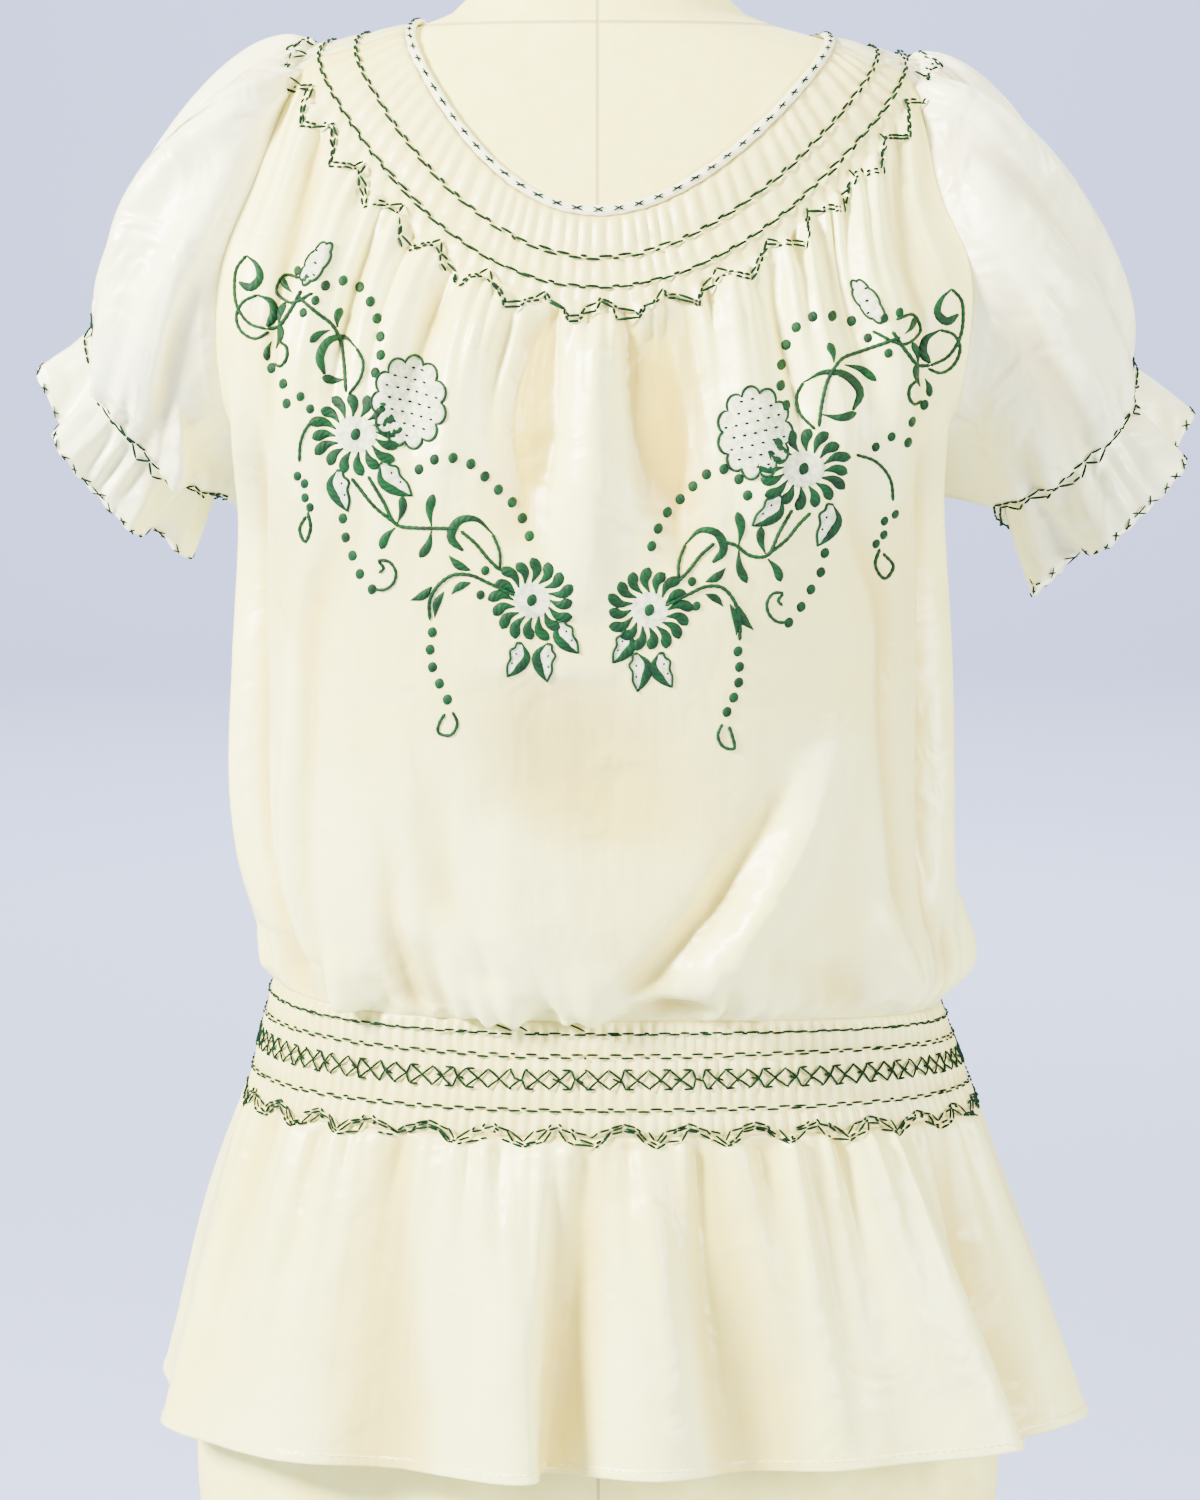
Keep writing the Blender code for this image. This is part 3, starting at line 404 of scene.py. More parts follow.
# Neck binding, a rolled strip round the neck edge
BINDING_HALF_WIDTH = 2.3 * MM
BINDING_HALF_DEPTH = 1.25 * MM
BINDING_OFFSET = 2.6 * MM


# Curves and surfaces


def smooth(at, knots, values):
    """A smooth curve through the values at the knots, read at the places in `at`."""
    at = np.asarray(at, float)
    knots = np.asarray(knots, float)
    values = np.asarray(values, float)
    slopes = np.gradient(values, knots, axis=0)
    first = np.clip(np.searchsorted(knots, at) - 1, 0, len(knots) - 2)
    span = knots[first + 1] - knots[first]
    t = (at - knots[first]) / span
    shape = (-1,) + (1,) * (values.ndim - 1)
    t, span = t.reshape(shape), span.reshape(shape)
    return (
        (2 * t**3 - 3 * t**2 + 1) * values[first]
        + (t**3 - 2 * t**2 + t) * span * slopes[first]
        + (3 * t**2 - 2 * t**3) * values[first + 1]
        + (t**3 - t**2) * span * slopes[first + 1]
    )


def smooth_round(at, knots, values):
    """As smooth(), for values that repeat once round a ring of length 1."""
    knots = np.asarray(knots, float)
    knots = np.concatenate([knots - 1, knots, knots + 1])
    return smooth(at, knots, np.concatenate([values] * 3))


def evenly(curve, at):
    """Points of a curve, given densely, at shares `at` of its length."""
    steps = np.linalg.norm(np.diff(curve, axis=0), axis=1)
    along = np.concatenate([[0], np.cumsum(steps)])
    return np.stack([np.interp(at * along[-1], along, curve[:, k]) for k in range(3)], axis=1)


def signed_power(value, power):
    return np.sign(value) * np.abs(value) ** power


def unit(vectors):
    return vectors / np.maximum(np.linalg.norm(vectors, axis=-1, keepdims=True), 1e-12)


def form_reach(points):
    """Above 1 outside the dress form and below 1 inside it."""
    z = np.clip(points[..., 2], FORM["z"][0], FORM["z"][-1])
    flat = z.ravel()
    half, front, back = (
        smooth(flat, FORM["z"], FORM[name]).reshape(z.shape) for name in ("half", "front", "back")
    )
    depth = np.where(points[..., 1] < 0, front, back)
    return (np.abs(points[..., 0]) / half) ** FORM_POWER + (np.abs(points[..., 1]) / depth) ** FORM_POWER


def from_core(points):
    """The rays on which points lie, from the form's core, and how far out they are."""
    core = np.zeros_like(points)
    core[..., 2] = np.minimum(points[..., 2], CORE_HEIGHT)
    away = points - core
    return core, unit(away), np.linalg.norm(away, axis=-1)


def form_skin(points):
    """How far out the form's skin is on each point's ray."""
    core, ray, _ = from_core(points)
    near, far = np.zeros(points.shape[:-1]), np.full(points.shape[:-1], 0.4)
    for _ in range(22):
        middle = (near + far) / 2
        inside = form_reach(core + ray * middle[..., None]) < 1
        near, far = np.where(inside, middle, near), np.where(inside, far, middle)
    return near


def on_form(points, gap):
    """Points moved out from the form's core, or in to it, to lie on the form with a gap."""
    core, ray, _ = from_core(points)
    return core + ray * (form_skin(points) + gap)[..., None]


def clear_of_form(points, gap):
    """Points that lie nearer the form than the gap, moved out to it, and how far off the form all are."""
    core, ray, reach = from_core(points)
    skin = form_skin(points)
    reach = np.maximum(reach, skin + gap)
    return core + ray * reach[..., None], reach - skin


def loose_gap(points):
    """The gap that cloth which hangs free keeps to the form, widest over the shoulders."""
    share = np.clip((points[..., 2] - SHOULDER_FROM) / (SHOULDER_FULL - SHOULDER_FROM), 0, 1)
    return LOOSE_GAP + (SHOULDER_GAP - LOOSE_GAP) * share


def neck_ring(down, angle):
    """The smocked neck at `down` (0 at its edge, 1 at its lower line), `angle` degrees from the centre front."""
    size = {name: (NECK_EDGE[name] * (1 - down) + NECK_LOWER[name] * down) for name in NECK_EDGE}
    turn = np.radians(angle)
    cosine = np.cos(turn)
    bow = np.abs(cosine) ** size["bow"]
    middle = np.where(cosine > 0, size["z_front"], size["z_back"])
    ring = np.stack(
        [
            size["half"] * np.sin(turn) + size["skew"] * (1 - bow),
            -cosine * np.where(cosine > 0, size["front"], size["back"]),
            size["z_shoulder"] + (middle - size["z_shoulder"]) * bow,
        ],
        axis=-1,
    )
    return on_form(ring * MM, REST_GAP + SMOCK_LIFT * down**2)


def section(left, right, centre, power, bow, wrap, at):
    """Part of a level oval, from a left point round the centre to a right point, at places -1 to 1."""
    turn = np.linspace(-wrap, wrap, 721) * math.pi / 180
    sine = signed_power(np.sin(turn), 2 / power)
    cosine = np.abs(np.cos(turn)) ** (2 / power)
    rise = (cosine - cosine[0]) / (1 - cosine[0])
    side = np.where((turn < 0)[:, None], left, right)
    curve = np.empty((len(turn), 3))
    curve[:, 0] = centre[0] + (side[:, 0] - centre[0]) * np.abs(sine / sine[0])
    curve[:, 1] = side[:, 1] + (centre[1] - side[:, 1]) * rise
    curve[:, 2] = side[:, 2] + (centre[2] - side[:, 2]) * rise ** (bow * power / 2)
    return evenly(curve, (at + 1) / 2)


def bodice_net(face, at):
    """The bodice's control rows, from the neck edge down to the waistband, at places across."""
    angles = at * RAGLAN_ANGLE if face == "front" else 180 - at * RAGLAN_ANGLE
    rows = [neck_ring(down, angles) for down in (0.0, 0.5, 1.0)]
    panel = FRONT if face == "front" else BACK
    for i, z in enumerate(panel["z"]):
        y = SIDES[f"y_{face}"][i]
        left = np.array([SIDES["x_left"][i], y, SIDES["z_left"][i]])
        right = np.array([SIDES["x_right"][i], y, SIDES["z_right"][i]])
        centre = np.array([0, panel["y"][i], z])
        rows.append(section(left, right, centre, BODICE_POWER, BODICE_BOW, WRAP[i], at))
    return np.array(rows)


def fold_lift(folds, at, down):
    """How far the folds raise the cloth at each row and place."""
    lift = np.zeros((len(down), len(at)))
    for fold in folds:
        share = (down - fold["row_top"]) / (fold["row_foot"] - fold["row_top"])
        middle = fold["at_top"] + (fold["at_foot"] - fold["at_top"]) * share
        strength = np.sin(math.pi * np.clip(share, 0, 1)) ** 0.7 * fold["height"] * MM
        lift += strength[:, None] * np.exp(-(((at[None, :] - middle[:, None]) / fold["width"]) ** 2))
    return lift


def facing(surface, turned):
    """The outward direction at each point of a grid."""
    across = np.cross(np.gradient(surface, axis=1), np.gradient(surface, axis=0))
    return unit(across) * (-1 if turned else 1)


def pleats(place, count, wander, phase=0.0):
    """Small pleats over a length of 1, from 0 to 1 high, whose widths wander a little."""
    drift = np.sin(11.3 * place + 0.4 + phase) + 0.6 * np.sin(29.9 * place + 1.3) + 0.4 * np.sin(53.7 * place)
    return (0.5 + 0.5 * np.cos(2 * math.pi * (count * place + wander * drift))) ** 0.8


def released(at, down, count, reach, seed, height):
    """Uneven little ridges that run on from a line of gathers, `down` away from it."""
    chance = np.random.default_rng(seed)
    lift = np.zeros((len(down), len(at)))
    centres = np.linspace(at[0], at[-1], count) + chance.uniform(-0.4, 0.4, count) * (at[-1] - at[0]) / count
    for centre in centres:
        tall = height * chance.uniform(0.35, 1.0) * chance.choice([1.0, 1.0, -0.7])
        length = reach * chance.uniform(0.4, 1.3)
        width = (at[-1] - at[0]) / count * chance.uniform(0.22, 0.42)
        lean = chance.uniform(-0.25, 0.25) * width
        middle = centre + lean * down / max(reach, 1e-6)
        fade = tall * np.exp(-((down / length) ** 1.4))
        spread = width * (1 + 0.5 * down / reach)
        lift += fade[:, None] * np.exp(-(((at[None, :] - middle[:, None]) / spread[:, None]) ** 2))
    return lift


def painted_shade_share(gap, lift):
    """Painted shade share: 0 where cloth stands off the form or rides on a fold, to 1 where it lies near the form or in
    a trough.
    """
    # Painted shade: the satin is painted darker and warmer by this share in fold troughs, and warmer where the cloth
    # lies near the form, standing in for the form seen through it.
    shade_part = np.exp(-np.clip(gap, 0, None) / (14 * MM))
    return 0.25 * shade_part + 0.75 * (0.5 - 0.5 * np.tanh(lift / (3.2 * MM)))


def inner_share(at):
    """1 over a panel, falling to 0 at its side edges."""
    return np.clip((1 - np.abs(at)) * 10, 0, 1)


def held(down):
    """How far the neck's pleats may rise: little at its stitch rows, most between them."""
    nearest = np.min(np.abs(np.asarray(down)[:, None] - np.array(HELD_ROWS)), axis=1)
    return 0.45 + 0.55 * np.clip(nearest / 0.3, 0, 1)


def bodice(face, at, down):
    """The bodice's surface and its painted shade share: one row of points for each place in `down`."""
    net = bodice_net(face, at)
    surface = smooth(down, np.arange(len(net)), net)
    lift = np.zeros(surface.shape[:2])
    if len(at) > 1 and len(down) > 1:
        folds = FRONT_FOLDS if face == "front" else BACK_FOLDS
        free = np.clip((down - SMOCK_ROW) / 0.5, 0, 1) * np.clip((WAIST_ROW - down) / 0.9, 0, 1)
        seed = 11 if face == "front" else 23
        lift = BODICE_FOLD_STRENGTH * fold_lift(folds, at, down) * free[:, None]
        below = np.clip(down - SMOCK_ROW, 0, None)
        above = np.clip(WAIST_ROW - down, 0, None)
        lift += released(at, below, 46, 2.1, seed, 5.6 * MM) * (down > SMOCK_ROW)[:, None]
        lift += released(at, above, 40, 2.2, seed + 1, 6.6 * MM) * (above > 0)[:, None] * np.clip(above / 0.75, 0, 1)[:, None]
        smock = np.clip((SMOCK_ROW + 0.6 - down) / 0.6, 0, 1) * np.clip(down / 0.1, 0, 1) * held(down)
        lift += NECK_PLEAT * smock[:, None] * pleats((at + 1) / 2, PANEL_PLEATS, 0.3)[None, :]
        lift *= inner_share(at)[None, :]
        surface = surface + facing(surface, face == "front") * lift[..., None]
    smocked = (down < SMOCK_ROW + 0.1) | (down > WAIST_ROW - 0.1)
    surface, gap = clear_of_form(surface, np.where(smocked[:, None], REST_GAP, loose_gap(surface)))
    # Painted shade share from the bodice's folds and its gap to the form.
    return surface, painted_shade_share(gap, lift)


def cuff_frame(side):
    """Centre, forward, up and outward directions, radius and lean of a cuff ring."""
    cuff = CUFFS[side]
    up = unit(np.array(cuff["up"], float))
    forward = np.array([0, -1.0, 0])
    forward = unit(forward - up * (forward @ up))
    outward = np.cross(up, forward) if side == "right" else np.cross(forward, up)
    return np.array(cuff["centre"]) * MM, forward, up, outward, cuff["radius"] * MM, cuff["lean"]


def bump(at, centre, width):
    """A smooth hump of height 1 at a place on a ring of length 1."""
    away = np.abs((at - centre + 0.5) % 1.0 - 0.5)
    return np.exp(-((away / width) ** 2))


def cuff_ring(side, at):
    """Points of the cuff's gathering line, round from the underarm up the front, and their outward spokes."""
    centre, forward, up, outward, radius, lean = cuff_frame(side)
    turn = (at * 360 - 90) * math.pi / 180
    spoke = np.cos(turn)[:, None] * forward + np.sin(turn)[:, None] * up
    reach = radius - CUFF_PINCH * bump(at, CUFF_PINCH_AT, CUFF_PINCH_WIDTH)
    toward_front = np.cos(turn)[:, None]
    shift = outward * radius * toward_front * np.where(toward_front > 0, lean, CUFF_BACK_LEAN)
    return centre + spoke * reach[:, None] + shift, spoke, outward


def armhole(side, raglan_columns, neck_columns):
    """The loop where a sleeve sets out, and the places round it, 0 at the underarm and 0.5 at the shoulder."""
    sign = -1 if side == "left" else 1
    edge = np.array([sign * 1.0])
    down = np.linspace(UNDERARM_ROW, SMOCK_ROW, raglan_columns + 1)
    front = bodice("front", edge, down)[0][:, 0]
    back = bodice("back", edge, down)[0][::-1][:, 0]
    over = neck_ring(1.0, sign * np.linspace(RAGLAN_ANGLE, 180 - RAGLAN_ANGLE, neck_columns + 1))
    loop = np.concatenate([front[:-1], over[:-1], back])
    seam = np.linspace(0, SEAM_SHARE, raglan_columns, endpoint=False)
    over = np.linspace(SEAM_SHARE, 1 - SEAM_SHARE, neck_columns, endpoint=False)
    at = np.concatenate([seam, over, np.append(seam, SEAM_SHARE) + 1 - SEAM_SHARE])
    return loop, at


def sleeve(side, raglan_columns, neck_columns, along):
    """The puffed sleeve from its armhole loop (0) to its gathered cuff (1): rows along, columns round."""
    start, at = armhole(side, raglan_columns, neck_columns)
    end, spoke, outward = cuff_ring(side, at)
    reach = {name: smooth_round(at, PUFF_AT, PUFF[name]) for name in PUFF}
    sign = -1 if side == "left" else 1
    set_out = np.stack([sign * reach["out"], -reach["forward"], reach["up"]], axis=-1)
    come_in = spoke * reach["end_swell"][:, None] - outward * reach["end_back"][:, None]
    t = along[:, None, None]
    surface = (
        (1 - t) ** 3 * start
        + 3 * (1 - t) ** 2 * t * (start + set_out)
        + 3 * (1 - t) * t**2 * (end + come_in)
        + t**3 * end
    )
    lift = SLEEVE_FOLD_STRENGTH * fold_lift(SLEEVE_FOLDS[side], at, along)
    over = np.clip(2.0 - 8 * np.abs(at - 0.5), 0, 1)
    around = np.clip(4.2 - 8 * np.abs(at - 0.5), 0.2, 1)
    near_cuff = released(at, (1 - along) * 10, CUFF_GATHERS, 2.6, 31, 5.2 * MM)
    near_neck = released(at, along * 10, 60, 2.8, 37, 5.2 * MM)
    lift += near_cuff * (around * np.minimum(at, 1 - at).clip(0, 0.04) * 25)[None, :]
    lift += near_neck * (over * np.clip(along * 30, 0, 1)[:, None])
    lift *= np.clip((1 - along) * 11, 0, 1)[:, None]
    closed = np.concatenate([surface[:, -2:-1], surface, surface[:, 1:2]], axis=1)
    direction = facing(closed, side == "right")[:, 1:-1]
    direction[:, -1] = direction[:, 0]
    lift[:, -1] = lift[:, 0]
    surface = surface + direction * lift[..., None]
    loosened, gap = clear_of_form(surface, loose_gap(surface))
    # Painted shade share from the sleeve's folds and its gap to the form.
    return np.where(along[:, None, None] > 0, loosened, start), painted_shade_share(gap, lift), at


def flounce(side, at, along):
    """The flounce beyond the cuff's gathering line, rows along from 0 at the line to 1 at its edge."""
    start, spoke, outward = cuff_ring(side, at)
    spread = unit(outward + spoke * FLOUNCE_FLARE - np.array([0, 0, FLOUNCE_DROOP]))
    turn = 2 * math.pi * at
    wave = np.sin(FLOUNCE_WAVES * turn + 0.6 + 0.8 * np.sin(2 * turn)) * FLOUNCE_HEIGHT * (1.2 + 0.4 * np.sin(3 * turn + 1))
    small = np.sin(3 * FLOUNCE_WAVES * turn + 1.1 + np.sin(5 * turn)) * 1.1 * MM * (1 + 0.6 * np.sin(2 * turn))
    t = along[:, None, None]
    rise = spoke[None] * (wave[None, :] * along[:, None] ** 0.8)[..., None]
    pucker = spoke[None] * (small[None, :] * (np.sin(math.pi * along) ** 0.5)[:, None])[..., None]
    scallop = spread[None] * (np.cos(2 * math.pi * 30 * at) * 0.5 * MM)[None, :, None] * t**8
    return start[None] + spread[None] * CUFFS[side]["flounce"] * MM * t + rise + pucker + scallop


def ring_rows(rows, face, at):
    """Control rows of the waistband or the peplum for one face."""
    net = []
    for i in range(len(rows["x_left"])):
        middle = rows["z_middle"][i] if "z_middle" in rows else rows[f"z_{face}"][i]
        left = np.array([rows["x_left"][i], 0, rows["z_left"][i]])
        right = np.array([rows["x_right"][i], 0, rows["z_right"][i]])
        centre = np.array([0, rows[f"y_{face}"][i], middle])
        net.append(section(left, right, centre, HIP_POWER, BODICE_BOW, 90, at))
    return np.array(net)


def waistband(face, at, down):
    """The smocked waistband, down from 0 to 1. Its top row is the bodice's last row."""
    net = ring_rows(BAND, face, at)
    net[0] = bodice_net(face, at)[-1]
    surface = smooth(down * (len(net) - 1), np.arange(len(net)), net)
    rows = np.array([0.0, 0.28, 0.5, 0.74, 1.0])
    nearest = np.min(np.abs(down[:, None] - rows), axis=1)
    rise = BAND_PLEAT * (0.4 + 0.6 * np.clip(nearest / 0.09, 0, 1)) * np.clip(down / 0.04, 0, 1) * np.clip((1 - down) / 0.04, 0, 1)
    phase = 0.0 if face == "front" else 2.0
    lift = rise[:, None] * pleats((at + 1) / 2, BAND_PLEATS, 0.35, phase)[None, :] * inner_share(at)[None, :]
    surface = surface + facing(surface, face == "front") * lift[..., None]
    surface, gap = clear_of_form(surface, REST_GAP)
    # Painted shade between the band's pleats.
    return surface, painted_shade_share(gap, 2 * (lift - BAND_PLEAT / 2))


def peplum(face, at, down):
    """The gathered peplum, down from 0 at the waistband to 1 at its hem."""
    net = ring_rows(PEPLUM, face, at)
    surface = smooth(down * (len(net) - 1), np.arange(len(net)), net)
    hem = HEM_FRONT if face == "front" else HEM_BACK
    place = [row["at"] for row in hem]
    wave = smooth(at, place, [row["out"] for row in hem]) * MM
    shift = smooth(at, place, [row["slide"] for row in hem]) * MM
    outward = facing(surface, face == "front")
    round_it = unit(np.gradient(surface, axis=1))
    lift = wave[None, :] * (down**0.75)[:, None]
    lift += fold_lift(PEPLUM_FRONT_FOLDS if face == "front" else PEPLUM_BACK_FOLDS, at, down) * np.clip(down * 20, 0, 1)[:, None]
    lift += released(at, down * 10, 44, 4.2, 41 if face == "front" else 43, 6.0 * MM) * np.clip(down * 25, 0, 1)[:, None]
    lift *= inner_share(at)[None, :]
    moved = surface + outward * lift[..., None] + round_it * (shift[None, :] * (down**1.2)[:, None])[..., None]
    moved, gap = clear_of_form(moved, REST_GAP)
    # Painted shade in the peplum's folds.
    return moved, painted_shade_share(gap, lift * 0.6)


# Meshes


def select_only(piece):
    bpy.ops.object.select_all(action="DESELECT")
    piece.select_set(True)
    bpy.context.view_layer.objects.active = piece


def lay_grid(name, surface, near, turned, cut):
    """A grid primitive laid on a surface, facing outwards, its UVs in metres over the flat cut, and `near`, its painted
    shade share, kept as an attribute.
    """
    rows, columns = surface.shape[:2]
    bpy.ops.object.select_all(action="DESELECT")
    bpy.ops.mesh.primitive_grid_add(x_subdivisions=columns - 1, y_subdivisions=rows - 1, size=1)
    made = bpy.context.object
    made.name = name
    mesh = made.data
    mesh.name = name
    across, down = np.meshgrid(np.linspace(0, cut[0], columns), np.linspace(cut[1], 0, rows))
    order = np.s_[::-1] if turned else np.s_[::-1, ::-1]
    mesh.vertices.foreach_set("co", np.ascontiguousarray(surface[order], np.float32).ravel())
    places = np.stack([across[order], down[order]], axis=-1).reshape(-1, 2)
    corners = np.empty(len(mesh.loops), np.int32)
    mesh.loops.foreach_get("vertex_index", corners)
    mesh.uv_layers[0].data.foreach_set("uv", places[corners].astype(np.float32).ravel())
    # The painted shade share of each point, which the satin reads to paint shade into fold troughs.
    painted_shade = mesh.attributes.new("painted_shade", "FLOAT", "POINT")
    painted_shade.data.foreach_set("value", np.ascontiguousarray(near[order], np.float32).ravel())
    mesh.update()
    return made


def join_sheets(name, sheets):
    """Several grids joined as one sheet; finish_sheet welds them where their edges meet."""
    select_only(sheets[0])
    for other in sheets[1:]:
        other.select_set(True)
    bpy.ops.object.join()
    made = bpy.context.object
    made.name = name
    made.data.name = name
    return made


def finish_sheet(made, finish, thickness=CLOTH_THICKNESS):
    """Welds a sheet's seams, gives it its thickness and its cloth."""
    select_only(made)
    bpy.ops.object.mode_set(mode="EDIT")
    bpy.ops.mesh.select_all(action="SELECT")
    bpy.ops.mesh.remove_doubles(threshold=0.00002)
    bpy.ops.object.mode_set(mode="OBJECT")
    wall = made.modifiers.new("thickness", "SOLIDIFY")
    wall.thickness = thickness
    wall.offset = 0.0
    bpy.ops.object.modifier_apply(modifier=wall.name)
    bpy.ops.object.shade_smooth()
    made.data.materials.clear()
    made.data.materials.append(finish)
    return made


def rows_between(*spans):
    """Places down a panel: (from, to, how many) spans, each without its end, then the last end."""
    parts = [np.linspace(start, end, count, endpoint=False) for start, end, count in spans]
    return np.append(np.concatenate(parts), spans[-1][1])


def own(made, node, slot):
    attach(made, "root")
    if node:
        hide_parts(*([node] if isinstance(node, str) else node))
    return made


# Cloth pieces

PANEL_CUTS = {"front": (0.40, 0.36), "back": (0.40, 0.37)}
PANEL_COLUMNS = {"front": 308, "back": 264}
PANEL_ROWS = ((0, 2, 22), (2, 6, 40), (6, 10, 22), (10, 12, 24))
BAND_CUT = (1.00, 0.052)
PEPLUM_CUT = (0.52, 0.150)
SLEEVE_CUT = (0.42, 0.165)
YOKE_CUT = (0.10, 0.046)
FLOUNCE_CUT = (0.42, 0.034)
HEM_FROM = 0.968
HEM_LIFT = 0.4 * MM


def make_bodice(face, finish):
    at = np.linspace(-1, 1, PANEL_COLUMNS[face] + 1)
    surface, near = bodice(face, at, rows_between(*PANEL_ROWS))
    made = lay_grid(f"blouse_{face}", surface, near, face == "front", PANEL_CUTS[face])
    finish_sheet(made, finish)
    return own(made, f"bodice_{face}", "satin")


def make_waistband(finish):
    at = np.linspace(-1, 1, BAND_PLEATS * 5 + 1)
    grids = []
    for face in ("front", "back"):
        surface, near = waistband(face, at, rows_between((0, 0.1, 4), (0.1, 0.9, 15), (0.9, 1, 4)))
        grids.append(lay_grid(f"band_{face}", surface, near, face == "front", BAND_CUT))
    made = join_sheets("waistband_smocking", grids)
    finish_sheet(made, finish)
    return own(made, "waistband", "satin")


def make_peplum(face, finish):
    at = np.linspace(-1, 1, 401)
    down = rows_between((0, 0.15, 9), (0.15, HEM_FROM - 0.004, 30), (HEM_FROM - 0.004, HEM_FROM + 0.004, 2), (HEM_FROM + 0.004, 1, 4))
    surface, near = peplum(face, at, down)
    hem = HEM_LIFT * (down > HEM_FROM)
    surface = surface + facing(surface, face == "front") * hem[:, None, None]
    made = lay_grid(f"peplum_{face}_cloth", surface, near, face == "front", PEPLUM_CUT)
    finish_sheet(made, finish)
    return own(made, f"peplum_{face}", "satin")


def yoke(side, columns, down):
    """The smocked neck over a shoulder, whose ends lie on the raglan seams."""
    sign = -1 if side == "left" else 1
    angles = sign * np.linspace(RAGLAN_ANGLE, 180 - RAGLAN_ANGLE, columns + 1)
    edge = np.array([sign * 1.0])
    rings = np.array([neck_ring(row / SMOCK_ROW, angles) for row in down])
    rings[:, 0] = bodice("front", edge, down)[0][:, 0]
    rings[:, -1] = bodice("back", edge, down)[0][:, 0]
    rise = NECK_PLEAT * held(down) * np.clip(down / 0.1, 0, 1)
    return rings + from_core(rings)[1] * (rise[:, None] * shoulder_pleats(columns)[None, :])[..., None]


def shoulder_pleats(columns):
    place = np.linspace(0, 1, columns + 1)
    return pleats(place, SHOULDER_PLEATS, 0.25) * np.clip(np.minimum(place, 1 - place) * 30, 0, 1)


def make_sleeve(side, finish):
    turned = side == "right"
    raglan_columns, neck_columns = 66, 78
    down = np.linspace(0, SMOCK_ROW, 20)
    top = yoke(side, neck_columns, down)
    along = rows_between((0, 0.12, 9), (0.12, 0.8, 26), (0.8, 1, 18))
    tube, near, at = sleeve(side, raglan_columns, neck_columns, along)
    span = slice(raglan_columns, raglan_columns + neck_columns + 1)
    fade = np.clip(1 - along / 0.12, 0, 1)[:, None, None]
    tube[:, span] += fade * (top[-1] - tube[0, span])[None]
    frill = flounce(side, at, np.linspace(0, 1, 18))
    frill[0] = tube[-1]
    # The flounce and the yoke get even painted shade shares, not shares from their folds.
    far = np.full(frill.shape[:2], 0.2)
    parts = [
        lay_grid("yoke", top, np.full(top.shape[:2], 0.6), turned, YOKE_CUT),
        lay_grid("puff", tube, near, turned, SLEEVE_CUT),
        lay_grid("frill", frill, far, turned, FLOUNCE_CUT),
    ]
    made = join_sheets(f"sleeve_{side}_cloth", parts)
    finish_sheet(made, finish)
    return own(made, f"sleeve_{side}", "satin")


def binding_frame(angles):
    """The middle of the rolled binding, and its directions up from the neck edge and out from the form."""
    angles = (angles + 180) % 360 - 180
    edge = neck_ring(0.0, angles)
    rise = unit(edge - neck_ring(0.25, angles))
    along = unit(neck_ring(0.0, angles + 0.5) - neck_ring(0.0, angles - 0.5))
    outward = unit(np.cross(along, rise))
    outward *= np.sign(np.sum(outward * from_core(edge)[1], axis=-1, keepdims=True))
    centre, _ = clear_of_form(edge + rise * BINDING_OFFSET, BINDING_HALF_DEPTH + REST_GAP - CLOTH_THICKNESS / 2)
    return centre, rise, outward


def make_binding(finish):
    """The rolled neck binding: a torus drawn out along the neck edge, a little puckered by its stitches."""
    segments, sides = 240, 12
    bpy.ops.object.select_all(action="DESELECT")
    bpy.ops.mesh.primitive_torus_add(major_segments=segments, minor_segments=sides)
    made = bpy.context.object
    made.name = "neck_binding_roll"
    made.data.name = made.name
    angles = np.linspace(0, 360, segments, endpoint=False)
    centre, rise, outward = binding_frame(angles)
    pucker = 1 + 0.07 * np.sin(np.radians(angles) * 78) + 0.04 * np.sin(np.radians(angles) * 31 + 1)
    turn = np.linspace(0, 2 * math.pi, sides, endpoint=False)
    ring = (
        centre[:, None]
        + rise[:, None] * (np.cos(turn)[None, :] * (pucker * BINDING_HALF_WIDTH)[:, None])[..., None]
        + outward[:, None] * (np.sin(turn)[None, :] * (pucker * BINDING_HALF_DEPTH)[:, None])[..., None]
    )
    made.data.vertices.foreach_set("co", ring.astype(np.float32).ravel())
    made.data.update()
    select_only(made)
    bpy.ops.object.mode_set(mode="EDIT")
    bpy.ops.mesh.select_all(action="SELECT")
    bpy.ops.mesh.normals_make_consistent(inside=False)
    bpy.ops.object.mode_set(mode="OBJECT")
    bpy.ops.object.shade_smooth()
    made.data.materials.append(finish)
    return own(made, "neck_binding", "satin")


